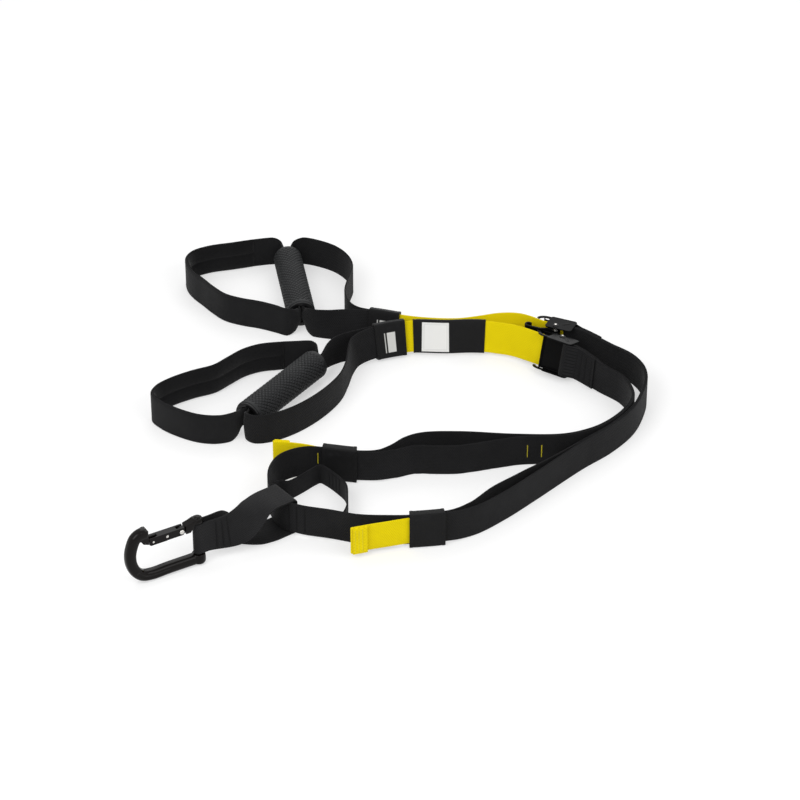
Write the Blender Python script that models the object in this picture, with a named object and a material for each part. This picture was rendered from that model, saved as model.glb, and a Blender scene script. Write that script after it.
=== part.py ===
"""A suspension trainer: one long strap folded at its middle through an anchor loop with a carabiner,
two adjuster straps held by cam buckles, and two handles with foot cradles, lying on a table with the
webbing standing on edge. Metres, +Z up, the origin at the middle of the footprint."""

import math

import bmesh
import bpy
from mathutils import Matrix, Vector

# The layout: every route point is counted in squares of this plan grid.
GRID_STEP = 0.100
PLAN_CENTRE_SHARES = (-0.0215, -0.248)

# Webbing
WEB_WIDTH = 0.038
WEB_THICK = 0.0018
LOCK_WIDTH = 0.025
LAP_GAP = 0.0003
SLEEVE_WALL = 0.0020
LEAN_SEAT = 0.0055
STATION_STEP = 0.022
TURN_STEP = math.radians(16)

# Cam buckle
BAR_RADIUS = 0.0030
CHEEK_THICK = 0.0016
PLATE_THICK = 0.0016
CHEEK_NOSE = 0.0270
CHEEK_TAIL = 0.0060
CHEEK_CORNER = 0.0035
ARM_LENGTH = 0.0050
CAM_REACH = 0.0150
CAM_RADIUS = 0.0056
CAM_CLEAR = 0.0006
CAM_PIN_RADIUS = 0.0022
CAM_PIN_HEAD = 0.0036
HEAD_THICK = 0.0011
LEVER_LENGTH = 0.0320
LEVER_RISE = 0.0070
LEVER_THICK = 0.0018
LEVER_CURL = 0.0030
TOOTH_DEPTH = 0.0007
SPRING_WIRE = 0.0004
SPRING_TURNS = 3

# Sleeves, tabs and labels
KEEPER_LENGTH = 0.0380
HANDLE_KEEPER_LENGTH = 0.0360
LABEL_LENGTH = 0.0830
LABEL_WALL = 0.0008
LABEL_SPACE = 5
TAB_WIDTH = 0.0330
TAB_BLOCK_LENGTH = 0.0170
TAB_BLOCK_THICK = 0.0056

# Handles and cradles
GRIP_LENGTH = 0.1300
GRIP_RADIUS = 0.0172
TUBE_RADIUS = 0.0150
TUBE_BORE = 0.0118
PINCHED_WIDTH = TUBE_BORE * 1.9
TUBE_RIM = 0.0164
RIM_THICK = 0.0020
GRIP_HEIGHT = WEB_WIDTH / 2
CRADLE_THICK = 0.0026
PAD_THICK = 0.0030
PAD_INSET = 0.0010

# Carabiner
CARABINER_THICK = 0.0120
CARABINER_DEEP = 0.0125
CAPTIVE_RADIUS = 0.0034
BOSS_RADIUS = 0.0078
# The carabiner is forged to suit its webbing, so its outlines grow and shrink with the webbing's width.
CARABINER_WEB = 0.038
CARABINER_STEP = GRID_STEP * WEB_WIDTH / CARABINER_WEB
BAR_SPARE = 0.0015
LOW_BOSS_TOP = CARABINER_STEP * 0.130
HIGH_BOSS_FOOT = LOW_BOSS_TOP + WEB_WIDTH + BAR_SPARE
HIGH_BOSS_THICK = 0.0060
GATE_THICK = 0.0090
GATE_DEEP = CARABINER_STEP * 0.092
GATE_SLOT = 0.0046
TONGUE_THICK = 0.0038
RIVET_RADIUS = 0.0019
LATCH_RADIUS = 0.0012
ROUND_SIDES = 24

# Each route row: x, y (grid squares), lift and lean shares, pinch share.
# Lift counts SLEEVE_LIFT, lean counts LEAN_ANGLE, pinch runs from full width (0) to the width in a tube (1).
SLEEVE_LIFT = SLEEVE_WALL + LAP_GAP + 0.0002
LEAN_ANGLE = math.radians(18)

MAIN_ROUTE_SHARES = [
    (1.90, 0.44, 2.2, 0.9, 0), (1.975, 0.39, 2.2, 0.9, 0), (2.08, 0.315, 1.7, 0.75, 0),
    (2.19, 0.235, 0.9, 0.5, 0), (2.29, 0.155, 0.3, 0.2, 0), (2.40, 0.065, 0, 0, 0),
    (2.53, -0.08, 0, 0, 0), (2.61, -0.29, 0, 0, 0), (2.62, -0.51, 0, 0, 0), (2.49, -0.79, 0, 0, 0),
    (2.25, -1.06, 0, 0, 0), (2.02, -1.20, 0, 0, 0), (1.78, -1.27, 0, 0, 0), (1.26, -1.27, 0, 0, 0),
    (0.67, -1.22, 0, 0, 0), (0.25, -1.24, 0, 0, 0), (0.06, -1.33, 0, 0, 0), (-0.10, -1.50, 0.2, 0, 0),
    (-0.25, -1.62, 0.8, 0, 0), (-0.46, -1.64, 1, 0, 0), (-0.85, -1.57, 1, 0, 0), (-1.02, -1.55, 0.8, 0, 0),
    (-1.19, -1.585, 0.3, 0, 0), (-1.34, -1.71, 0.3, 0, 0), (-1.43, -2.00, 1.0, 0, 0),
    (-1.40, -2.34, 1.3, 0, 0), (-1.29, -2.56, 1.3, 0, 0), (-1.08, -2.69, 1.3, 0, 0),
    (-0.75, -2.75, 0.5, 0, 0), (-0.45, -2.82, 0, 0, 0), (-0.10, -2.86, 0.6, 0, 0), (0.10, -2.87, 1, 0, 0),
    (0.47, -2.82, 1, 0, 0), (0.66, -2.75, 0.4, 0, 0), (0.86, -2.63, 0, 0, 0), (1.16, -2.36, 0, 0, 0),
    (1.46, -2.04, 0, 0, 0), (2.03, -1.41, 0, 0, 0), (2.36, -1.09, 0, 0, 0), (2.63, -0.72, 0, 0, 0),
    (2.77, -0.34, 0, 0, 0), (2.82, -0.06, 0, 0, 0), (2.79, 0.18, 0, 0, 0), (2.67, 0.41, 0, 0, 0),
    (2.46, 0.61, 0, 0, 0), (2.27, 0.785, 0.5, 0, 0), (2.11, 0.895, 1.4, 0, 0), (1.99, 0.95, 1.4, 0, 0),
]
LOWER_A_SHARES = [
    (1.30, 0.875, 1.3, 1.0, 0), (1.14, 0.935, 1.0, 1.0, 0), (1.00, 0.97, 1.0, 1.0, 0), (0.82, 0.98, 1.0, 1.0, 0),
    (0.55, 0.965, 1.0, 1.0, 0), (0.20, 0.98, 1.0, 1.0, 0), (0.11, 0.97, 1.0, 1.0, 0),
    (-0.08, 0.92, 1.0, 1.0, 0), (-0.27, 0.85, 1.0, 1.0, 0),
]
LOWER_B_SHARES = [
    (1.40, 1.175, 1.0, 0.6, 0), (1.20, 1.15, 1.0, 1.0, 0), (0.96, 1.085, 1.0, 1.0, 0),
    (0.72, 1.03, 1.0, 1.0, 0),
    (0.50, 1.025, 1.0, 1.0, 0), (0.22, 1.055, 1.0, 1.0, 0), (0.02, 1.10, 1.0, 1.0, 0),
    (-0.28, 1.195, 1.0, 1.0, 0), (-0.38, 1.22, 1.0, 1.0, 0),
]
# Grip axes in plan: the mouth that faces away from the camera, then the one towards it.
GRIP_A_SHARES = ((-0.97, 0.50), (-1.73, -0.64))
GRIP_B_SHARES = ((-1.38, 2.92), (-1.17, 1.57))
# The handle strap's two sides between its keeper and the grip's mouths, and the cradle's loop.
REAR_A_SHARES = [
    (-0.47, 0.845, 0.4, 0.6, 0), (-0.61, 0.84, 0, 0.2, 0), (-0.75, 0.775, 0, 0, 0),
    (-0.85, 0.67, 0, 0, 0.3),
]
FRONT_A_SHARES = [
    (-1.745, -0.815, 0, 0, 0.2), (-1.64, -0.895, 0, 0, 0), (-1.46, -0.87, 0, 0, 0),
    (-1.20, -0.71, 0, 0, 0), (-0.97, -0.48, 0, 0, 0), (-0.78, -0.21, 0, 0, 0), (-0.67, 0.02, 0, 0, 0),
    (-0.60, 0.30, 0, 0.1, 0), (-0.55, 0.53, 0.2, 0.4, 0), (-0.47, 0.70, 0.6, 0.8, 0),
]
CRADLE_A_SHARES = [
    (-0.955, 0.625, 0, 0, 0.3), (-1.03, 0.68, 0, 0, 0), (-1.20, 0.675, 0, 0, 0), (-1.44, 0.65, 0, 0, 0),
    (-1.63, 0.61, 0, 0, 0), (-1.82, 0.50, 0, 0, 0), (-1.99, 0.32, 0, 0, 0), (-2.14, 0.16, 0, 0, 0),
    (-2.38, 0.04, 0, 0, 0), (-2.62, -0.12, 0, 0, 0), (-2.77, -0.28, 0, 0, 0), (-2.81, -0.44, 0, 0, 0),
    (-2.70, -0.60, 0, 0, 0), (-2.50, -0.76, 0, 0, 0), (-2.26, -0.88, 0, 0, 0), (-2.06, -0.905, 0, 0, 0),
    (-1.91, -0.86, 0, 0, 0), (-1.825, -0.78, 0, 0, 0.35),
]
REAR_B_SHARES = [
    (-0.53, 1.33, 0.6, 0.8, 0), (-0.62, 1.50, 0.3, 0.35, 0), (-0.655, 1.80, 0, 0, 0),
    (-0.61, 2.18, 0, 0, 0), (-0.575, 2.42, 0, 0, 0), (-0.64, 2.66, 0, 0, 0), (-0.79, 2.87, 0, 0, 0),
    (-1.00, 3.01, 0, 0, 0), (-1.18, 3.075, 0, 0, 0), (-1.315, 3.06, 0, 0, 0.5),
]
FRONT_B_SHARES = [
    (-1.12, 1.46, 0, 0, 0.5), (-1.03, 1.385, 0, 0, 0), (-0.86, 1.325, 0, 0.3, 0),
    (-0.64, 1.265, 0.5, 0.85, 0),
]
CRADLE_B_SHARES = [
    (-1.445, 3.05, 0, 0, 0.5), (-1.55, 3.07, 0, 0, 0), (-1.77, 3.03, 0, 0, 0), (-2.05, 2.95, 0, 0, 0),
    (-2.33, 2.87, 0, 0, 0), (-2.52, 2.75, 0, 0, 0), (-2.59, 2.59, 0, 0, 0), (-2.56, 2.40, 0, 0, 0),
    (-2.48, 2.24, 0, 0, 0), (-2.37, 2.09, 0, 0, 0), (-2.25, 1.92, 0, 0, 0), (-2.09, 1.74, 0, 0, 0),
    (-1.90, 1.64, 0, 0, 0), (-1.66, 1.56, 0, 0, 0), (-1.47, 1.47, 0, 0, 0), (-1.34, 1.405, 0, 0, 0),
    (-1.235, 1.43, 0, 0, 0.5),
]
LOCKING_SHARES = [
    (-1.33, -2.01, 0.4, 0, 0), (-1.22, -2.00, 0, 0, 0), (-1.07, -1.87, 0, 0, 0), (-0.94, -1.73, 0, 0, 0),
    (-0.88, -1.685, 0, 0, 0), (-0.81, -1.74, 0, 0, 0), (-0.68, -1.90, 0, 0, 0), (-0.59, -2.05, 0, 0, 0),
    (-0.57, -2.28, 0, 0, 0), (-0.58, -2.50, 0, 0, 0), (-0.65, -2.655, 0.2, 0, 0),
]
LOCK_START_SHARE = (-1.42, -2.20)
LOCK_END_SHARE = (-0.98, -2.71)
TAB_A_SHARES = [(-1.04, -1.478, 1, 0, 0), (-1.22, -1.440, 1, 0, 0), (-1.40, -1.42, 1, 0, 0)]
TAB_B_SHARES = [(-0.13, -2.955, 1, 0, 0), (-0.33, -3.010, 1, 0, 0), (-0.52, -3.07, 1, 0, 0)]
# How far each adjuster strap bows away from the main strap, in grid squares, by share of the leg's length.
BOW_A_SHARES = [
    (0.0, 0), (0.466, 0), (0.545, 0.02), (0.601, 0.11), (0.652, 0.215), (0.694, 0.265), (0.746, 0.26),
    (0.80, 0.20), (0.843, 0.10), (0.881, 0.02), (0.91, 0), (1.0, 0),
]
BOW_B_SHARES = [
    (0.0, 0), (0.53, 0), (0.62, 0.03), (0.72, 0.10), (0.79, 0.13), (0.86, 0.07), (0.915, 0.01), (0.935, 0),
    (1.0, 0),
]
KEEPER_A_SHARE = (-0.845, -1.571)
KEEPER_B_SHARE = (0.105, -2.87)
BAR_SHARES = (-2.14, -3.17)
CROSSING_SHARES = (-1.345, -2.565)
CARABINER_ANGLE = math.radians(31)
# The carabiner's side view, in grid squares from its bar towards the nose and up from the table.
BODY_LINE_SHARES = [
    (0.0, 0.069), (0.12, 0.069), (0.36, 0.069), (0.56, 0.064), (0.67, 0.088), (0.745, 0.158), (0.79, 0.26),
    (0.80, 0.38), (0.775, 0.49), (0.735, 0.57), (0.675, 0.605), (0.615, 0.605),
]
ARM_SHARES = [
    (-0.02, 0.530), (0.05, 0.529), (0.10, 0.452), (0.158, 0.448), (0.158, 0.545), (0.10, 0.560), (0.04, 0.583),
    (-0.02, 0.575),
]
NOSE_SHARES = [(0.597, 0.475), (0.597, 0.655), (0.63, 0.663), (0.70, 0.64), (0.70, 0.56), (0.66, 0.50)]
HOOK_SHARES = [
    (0.625, 0.520), (0.625, 0.560), (0.50, 0.560), (0.50, 0.509), (0.525, 0.509), (0.545, 0.522), (0.575, 0.518),
]
GATE_SHARES = [
    (0.190, 0.450), (0.50, 0.448), (0.570, 0.446), (0.588, 0.462), (0.590, 0.541), (0.30, 0.541), (0.172, 0.541),
    (0.172, 0.470),
]
PIVOT_SHARE = (0.205, 0.495)
LATCH_SHARE = (0.540, 0.487)


def clear_scene():
    """Remove what the scene holds."""
    for thing in list(bpy.data.objects):
        bpy.data.objects.remove(thing, do_unlink=True)


def material(name, colour, roughness, metallic=0.0):
    """A Principled material."""
    made = bpy.data.materials.new(name)
    made.use_nodes = True
    shader = made.node_tree.nodes["Principled BSDF"]
    shader.inputs["Base Color"].default_value = (*colour, 1.0)
    shader.inputs["Roughness"].default_value = roughness
    shader.inputs["Metallic"].default_value = metallic
    made.diffuse_color = (*colour, 1.0)
    return made


def plan(point_shares):
    """A plan point of the layout, in metres, from its grid squares."""
    x, y = point_shares[0] - PLAN_CENTRE_SHARES[0], point_shares[1] - PLAN_CENTRE_SHARES[1]
    return Vector((x * GRID_STEP, y * GRID_STEP, 0))


class Place:
    """A station on a course: its foot, its heading, the side across the face and the rise along the width."""

    def __init__(self, foot, heading, lean, pinch):
        self.foot, self.lean, self.pinch = foot, lean, pinch
        self.heading = heading
        left = Vector((-heading.y, heading.x, 0))
        up = Vector((0, 0, 1))
        self.rise = up * math.cos(lean) + left * math.sin(lean)
        self.side = left * math.cos(lean) - up * math.sin(lean)

    def at(self, across, high):
        """The point this far across the face and this far up the width."""
        return self.foot + self.side * across + self.rise * high


def blend_rows(rows, count=14):
    """Centripetal Catmull-Rom through the rows, each a tuple of numbers."""
    def gap(a, b):
        return max(math.hypot(a[0] - b[0], a[1] - b[1]), GRID_STEP * 0.001) ** 0.5

    ends = [tuple(2 * a - b for a, b in zip(rows[0], rows[1]))]
    tail = [tuple(2 * a - b for a, b in zip(rows[-1], rows[-2]))]
    knots = ends + list(rows) + tail
    dense = []
    for i in range(1, len(knots) - 2):
        p = knots[i - 1:i + 3]
        t = [0.0]
        for a, b in zip(p, p[1:]):
            t.append(t[-1] + gap(a, b))
        for k in range(count):
            u = t[1] + (t[2] - t[1]) * k / count

            def mix(a, b, ta, tb):
                return tuple(((tb - u) * x + (u - ta) * y) / (tb - ta) for x, y in zip(a, b))

            a1, a2, a3 = (mix(p[j], p[j + 1], t[j], t[j + 1]) for j in range(3))
            b1, b2 = mix(a1, a2, t[0], t[2]), mix(a2, a3, t[1], t[3])
            dense.append(mix(b1, b2, t[1], t[2]))
    dense.append(rows[-1])
    return dense


class Course:
    """A smooth route on the table, read by the distance along it. It runs straight on past its ends."""

    def __init__(self, rows):
        self.rows = blend_rows(rows)
        self.feet = []
        self.lengths = [0.0]
        for x, y, lift, lean, pinch in self.rows:
            foot = Vector((x, y, max(lift, 0) * SLEEVE_LIFT + abs(math.sin(lean * LEAN_ANGLE)) * LEAN_SEAT))
            if self.feet:
                self.lengths.append(self.lengths[-1] + (foot.xy - self.feet[-1].xy).length)
            self.feet.append(foot)
        self.length = self.lengths[-1]

    def index(self, s):
        """The dense row at or before the distance s."""
        low, high = 0, len(self.lengths) - 2
        while low < high:
            middle = (low + high + 1) // 2
            if self.lengths[middle] <= s:
                low = middle
            else:
                high = middle - 1
        return low

    def heading(self, s):
        """The direction of travel at the distance s."""
        reach = GRID_STEP * 0.015
        a, b = self.foot(s - reach), self.foot(s + reach)
        return Vector((b.x - a.x, b.y - a.y, 0)).normalized()

    def foot(self, s):
        """The foot of the strap at the distance s."""
        i = self.index(min(max(s, 0), self.length))
        a, b = self.feet[i], self.feet[i + 1]
        step = self.lengths[i + 1] - self.lengths[i]
        share = (s - self.lengths[i]) / step
        point = a.lerp(b, share)
        if s < 0 or s > self.length:
            point.z = (self.feet[0] if s < 0 else self.feet[-1]).z
        return point

    def place(self, s):
        """The station at the distance s."""
        inside = min(max(s, 0), self.length)
        i = self.index(inside)
        step = self.lengths[i + 1] - self.lengths[i]
        share = min(max((inside - self.lengths[i]) / step, 0), 1)
        row = [a + (b - a) * share for a, b in zip(self.rows[i], self.rows[i + 1])]
        return Place(self.foot(s), self.heading(s), row[3] * LEAN_ANGLE, min(max(row[4], 0), 1))

    def nearest(self, point):
        """The distance along the course whose foot is nearest to a plan point."""
        best = min(range(len(self.feet)), key=lambda i: (self.feet[i].xy - point.xy).length)
        return self.lengths[best]

    def settle(self, stops):
        """Fix the stations that every piece on this course shares, through the distances in stops."""
        stops = sorted(stops)
        self.marks = [stops[0]]
        for a, b in zip(stops, stops[1:]):
            self.marks += self.stations(a, b)[1:]

    def between(self, start, end):
        """The shared stations from start to end."""
        low, high = min(start, end), max(start, end)
        slack = LAP_GAP / 3
        chosen = [s for s in self.marks if low - slack < s < high + slack]
        return chosen if start < end else chosen[::-1]

    def row_on(self, s, across, turn=1):
        """A route row beside this course; turn is -1 where the new route runs the other way."""
        place = self.place(s)
        foot = place.at(across, 0)
        lift = (foot.z - abs(math.sin(place.lean)) * LEAN_SEAT) / SLEEVE_LIFT
        return (foot.x, foot.y, lift, turn * place.lean / LEAN_ANGLE, place.pinch)

    def stations(self, start, end):
        """Distances from start to end, closer together where the course turns."""
        fine = max(2, round(abs(end - start) / (GRID_STEP * 0.02)))
        marks, last = [start], start
        turned = 0.0
        before = self.heading(start)
        for k in range(1, fine):
            s = start + (end - start) * k / fine
            now = self.heading(s)
            turned += before.angle(now, 0.0)
            before = now
            if turned > TURN_STEP or abs(s - last) > STATION_STEP:
                marks.append(s)
                last, turned = s, 0.0
        marks.append(end)
        return marks


def route(point_shares):
    """A course through rows of shares."""
    return Course([(*plan(row)[:2], *row[2:]) for row in point_shares])


def new_object(name, mesh, finish):
    """An object that holds a mesh and its material."""
    mesh.name = name
    mesh.materials.clear()
    mesh.materials.append(finish)
    made = bpy.data.objects.new(name, mesh)
    bpy.context.scene.collection.objects.link(made)
    return made


def mesh_of(build):
    """A mesh that the function build fills as a bmesh, with its faces turned outwards."""
    grid = bmesh.new()
    build(grid)
    bmesh.ops.recalc_face_normals(grid, faces=grid.faces)
    mesh = bpy.data.meshes.new("shape")
    grid.to_mesh(mesh)
    grid.free()
    return mesh


def skin_rings(grid, rings, closed=False):
    """Faces between rings of points, with end faces unless the rings close on themselves."""
    made = [[grid.verts.new(p) for p in ring] for ring in rings]
    pairs = list(zip(made, made[1:]))
    if closed:
        pairs.append((made[-1], made[0]))
    for a, b in pairs:
        for i in range(len(a)):
            j = (i + 1) % len(a)
            grid.faces.new((a[i], a[j], b[j], b[i]))
    if not closed:
        grid.faces.new(list(reversed(made[0])))
        grid.faces.new(made[-1])


def sweep(name, rings, finish, closed=False):
    """One solid from rings of points."""
    return new_object(name, mesh_of(lambda grid: skin_rings(grid, rings, closed)), finish)


def width_span(pinch, full=WEB_WIDTH):
    """Lowest and highest height of a strap whose width is pinched towards its middle."""
    width = full + (PINCHED_WIDTH - full) * pinch
    middle = full / 2
    return middle - width / 2, middle + width / 2


def strap_ring(place, across, thick=WEB_THICK, low=0.0, high=WEB_WIDTH):
    """The four corners of a strap's section at a station."""
    near, far = across - thick / 2, across + thick / 2
    return [place.at(near, low), place.at(far, low), place.at(far, high), place.at(near, high)]


def strap_rings(course, marks, across=0.0, thick=WEB_THICK, full=WEB_WIDTH):
    """A strap's sections at distances along a course; across and thick may be functions of distance."""
    rings = []
    for s in marks:
        place = course.place(s)
        low, high = width_span(place.pinch, full)
        offset = across(s) if callable(across) else across
        depth = thick(s) if callable(thick) else thick
        rings.append(strap_ring(place, offset, depth, low, high))
    return rings


def sleeve(name, course, start, end, inner, wall, finish, height=WEB_WIDTH):
    """A closed sleeve round straps that fill the span inner across the face."""
    near, far = inner[0] - LAP_GAP, inner[1] + LAP_GAP
    low, high = -LAP_GAP, height + LAP_GAP
    marks = course.between(start, end)

    def build(grid):
        outer_rings, inner_rings = [], []
        for s in marks:
            p = course.place(s)
            outer = [(near - wall, low - wall), (far + wall, low - wall), (far + wall, high + wall),
                     (near - wall, high + wall)]
            bore = [(near, low), (far, low), (far, high), (near, high)]
            outer_rings.append([grid.verts.new(p.at(*c)) for c in outer])
            inner_rings.append([grid.verts.new(p.at(*c)) for c in bore])
        for rings in (outer_rings, inner_rings):
            for a, b in zip(rings, rings[1:]):
                for i in range(4):
                    j = (i + 1) % 4
                    grid.faces.new((a[i], a[j], b[j], b[i]))
        for a, b in ((outer_rings[0], inner_rings[0]), (outer_rings[-1], inner_rings[-1])):
            for i in range(4):
                j = (i + 1) % 4
                grid.faces.new((a[i], a[j], b[j], b[i]))

    return new_object(name, mesh_of(build), finish)


def follow(table, share):
    """A value read smoothly from rows of (share, value)."""
    for (s0, v0), (s1, v1) in zip(table, table[1:]):
        if share <= s1:
            t = min(max((share - s0) / (s1 - s0), 0), 1)
            return v0 + (v1 - v0) * t * t * (3 - 2 * t)
    return table[-1][1]


def prism(outline, low, high, frame):
    """A mesh raised from a flat outline of (x, y) between two heights, set by a frame matrix."""
    def build(grid):
        rings = [[frame @ Vector((x, y, z)) for x, y in outline] for z in (low, high)]
        skin_rings(grid, rings)

    return mesh_of(build)


def turned(profile, frame, sides=ROUND_SIDES):
    """A closed mesh turned about the frame's z axis from (radius, height) rows that end on the axis or a bore."""
    def build(grid):
        rings = []
        for radius, z in profile:
            rings.append([frame @ Vector((radius * math.cos(math.tau * k / sides),
                                          radius * math.sin(math.tau * k / sides), z)) for k in range(sides)])
        skin_rings(grid, rings)

    return mesh_of(build)


def pipe(bore, profile, frame, sides=ROUND_SIDES):
    """A turned piece with a straight bore: outer (radius, height) rows, closed down the bore."""
    def build(grid):
        rows = list(profile) + [(bore, profile[-1][1]), (bore, profile[0][1])]
        rings = [[frame @ Vector((radius * math.cos(math.tau * k / sides),
                                  radius * math.sin(math.tau * k / sides), z)) for k in range(sides)]
                 for radius, z in rows]
        skin_rings(grid, rings, closed=True)

    return mesh_of(build)


def combine(meshes, operation, name="shape"):
    """The first mesh joined with, or cut by, the others, as one plain mesh."""
    scene = bpy.context.scene.collection
    whole = bpy.data.objects.new(name, meshes[0])
    scene.objects.link(whole)
    helpers = []
    for mesh in meshes[1:]:
        helper = bpy.data.objects.new("helper", mesh)
        scene.objects.link(helper)
        helpers.append(helper)
        cut = whole.modifiers.new("cut", "BOOLEAN")
        cut.operation, cut.object = operation, helper
    evaluated = whole.evaluated_get(bpy.context.evaluated_depsgraph_get())
    result = bpy.data.meshes.new_from_object(evaluated)
    for thing in [whole] + helpers:
        bpy.data.objects.remove(thing, do_unlink=True)
    return result


def arc(centre, radius, start, end, count):
    """Points along an arc, angles in degrees."""
    return [(centre[0] + radius * math.cos(math.radians(start + (end - start) * k / count)),
             centre[1] + radius * math.sin(math.radians(start + (end - start) * k / count)))
            for k in range(count + 1)]


def rounded_box(x0, x1, y0, y1, radius):
    """A rectangle's outline with round corners."""
    return (arc((x1 - radius, y1 - radius), radius, 0, 90, 3) + arc((x0 + radius, y1 - radius), radius, 90, 180, 3)
            + arc((x0 + radius, y0 + radius), radius, 180, 270, 3)
            + arc((x1 - radius, y0 + radius), radius, 270, 360, 3))


def thick_line(points, thick):
    """The outline of a line of a given thickness through plan points."""
    left, right = [], []
    for i, p in enumerate(points):
        a, b = points[max(i - 1, 0)], points[min(i + 1, len(points) - 1)]
        along = Vector((b[0] - a[0], b[1] - a[1])).normalized()
        across = Vector((-along.y, along.x)) * thick / 2
        left.append((p[0] + across.x, p[1] + across.y))
        right.append((p[0] - across.x, p[1] - across.y))
    return left + right[::-1]


def frame_at(origin, x_axis, y_axis, z_axis):
    """A matrix with these axes and origin."""
    return Matrix.Translation(origin) @ Matrix((x_axis, y_axis, z_axis)).transposed().to_4x4()


def on_axis(made, origin):
    """Move an object's origin to a point and leave its shape where it is."""
    made.data.transform(Matrix.Translation(-origin))
    made.location = origin


clear_scene()
BLACK_WEB = material("black_webbing", (0.016, 0.016, 0.017), 0.75)
SHINY_WEB = material("anchor_webbing", (0.026, 0.026, 0.027), 0.5)
YELLOW_WEB = material("yellow_webbing", (0.76, 0.61, 0.004), 0.7)
CRADLE_WEB = material("cradle_fabric", (0.02, 0.02, 0.021), 0.85)
SLEEVE_FABRIC = material("sleeve_fabric", (0.012, 0.012, 0.012), 0.6)
LABEL_FABRIC = material("label_fabric", (0.03, 0.03, 0.03), 0.5)
GRIP_RUBBER = material("grip_rubber", (0.02, 0.02, 0.021), 0.8)
TUBE_PLASTIC = material("tube_plastic", (0.015, 0.015, 0.015), 0.4)
BUCKLE_PAINT = material("buckle_paint", (0.012, 0.012, 0.013), 0.3, 0.5)
PIN_STEEL = material("pin_steel", (0.6, 0.6, 0.6), 0.3, 1.0)
SPRING_STEEL = material("spring_steel", (0.45, 0.45, 0.45), 0.35, 1.0)
CARABINER_COAT = material("carabiner_coat", (0.013, 0.011, 0.010), 0.2, 0.7)

MAIN = route(MAIN_ROUTE_SHARES)
LAP = WEB_THICK + LAP_GAP
JOIN = CAM_REACH * 0.5
SEWN = WEB_WIDTH * 1.05
BAR_WRAP = BAR_RADIUS + LAP_GAP + WEB_THICK / 2


class Leg:
    """One leg of the main strap, read from its cam buckle's bar towards the folded middle."""

    def __init__(self, tag, towards_end, keeper_share):
        self.tag, self.towards_end = tag, towards_end
        self.keeper_inner = MAIN.nearest(plan(keeper_share))
        self.keeper_outer = self.keeper_inner + (KEEPER_LENGTH if towards_end else -KEEPER_LENGTH)
        self.length = abs(self.keeper_inner - self.s(0))

    def s(self, along):
        """Distance on the main course at this distance from the bar."""
        return MAIN.length - along if self.towards_end else along

    def buckle_place(self):
        """The bar's station and the direction to the handle."""
        place = MAIN.place(self.s(0))
        return place, place.heading if self.towards_end else -place.heading


LEG_A = Leg("a", False, KEEPER_A_SHARE)
LEG_B = Leg("b", True, KEEPER_B_SHARE)
LOCK_START = MAIN.nearest(plan(LOCK_START_SHARE))
LOCK_END = MAIN.nearest(plan(LOCK_END_SHARE))
STOPS = [LOCK_START, LOCK_START + LOCK_WIDTH / 2, LOCK_END, LOCK_END + LOCK_WIDTH / 2]
for leg_of_strap in (LEG_A, LEG_B):
    STOPS += [leg_of_strap.s(d) for d in (-JOIN, 0, CHEEK_TAIL, SEWN * 0.35, SEWN)]
    STOPS += [leg_of_strap.keeper_inner, leg_of_strap.keeper_outer]
MAIN.settle(STOPS)


def box_ring(centre, side, rise, thick=WEB_THICK, width=WEB_WIDTH):
    """A strap's section from its lower edge's centre."""
    half = side * thick / 2
    return [centre - half, centre + half, centre + half + rise * width, centre - half + rise * width]


def sewn_end(leg):
    """Rings of the strap's end, from where it is cut, back along the strap and round the buckle's bar."""
    rings = []
    for s in MAIN.between(leg.s(SEWN), leg.s(SEWN * 0.35)):
        rings.append(strap_ring(MAIN.place(s), -LAP))
    place, forward = leg.buckle_place()
    for x, y in arc((0, -BAR_WRAP), BAR_WRAP, -117, 60, 7):
        outward = (forward * x + place.side * (y + BAR_WRAP)).normalized()
        centre = place.at(y, 0) + forward * x
        rings.append(box_ring(centre, outward, place.rise))
    return rings


def same_way(rings):
    """Rings whose corners follow each other: a ring is turned over where its sides run against the last."""
    fixed = [rings[0]]
    for ring in rings[1:]:
        last = fixed[-1]
        against = (last[1] - last[0]).dot(ring[1] - ring[0]) < 0
        fixed.append([ring[1], ring[0], ring[3], ring[2]] if against else ring)
    return fixed


def main_strap():
    """The long strap: a sewn end, leg A, the fold at the anchor, leg B and the other sewn end."""
    rings = sewn_end(LEG_A) + strap_rings(MAIN, MAIN.between(0, MAIN.length)) + sewn_end(LEG_B)[::-1]
    sweep("main_strap", same_way(rings), BLACK_WEB)


def adjuster(leg, bow_shares):
    """The strap beside a leg, from inside the cam buckle to inside the sliding keeper."""
    def across(s):
        along = MAIN.length - s if leg.towards_end else s
        return LAP + follow(bow_shares, min(max(along / leg.length, 0), 1)) * GRID_STEP

    marks = MAIN.between(leg.s(-JOIN), leg.keeper_inner)
    sweep(f"adjuster_strap_{leg.tag}", strap_rings(MAIN, marks, across), BLACK_WEB)


def holed_plate(outline, hole_centre, hole_radius, low, high):
    """A plate with one round hole, as a mesh in its own frame."""
    middle = Vector(hole_centre)

    def split(a, b):
        if (a - middle).angle(b - middle) < math.radians(24):
            return [a]
        return split(a, (a + b) / 2) + split((a + b) / 2, b)

    edge = []
    corners = [Vector(p) for p in outline]
    for p, q in zip(corners, corners[1:] + corners[:1]):
        edge += split(p, q)
    hole = [middle + (p - middle).normalized() * hole_radius for p in edge]

    def build(grid):
        rings = [[Vector((*p, z)) for p in line] for line, z in
                 ((edge, low), (edge, high), (hole, high), (hole, low))]
        skin_rings(grid, rings, closed=True)

    return mesh_of(build)


def moved(mesh, frame):
    """A mesh set by a frame matrix, turned inside out where the frame mirrors it."""
    mesh.transform(frame)
    if frame.determinant() < 0:
        mesh.flip_normals()
    return mesh


STILL = Matrix.Identity(4)


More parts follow.
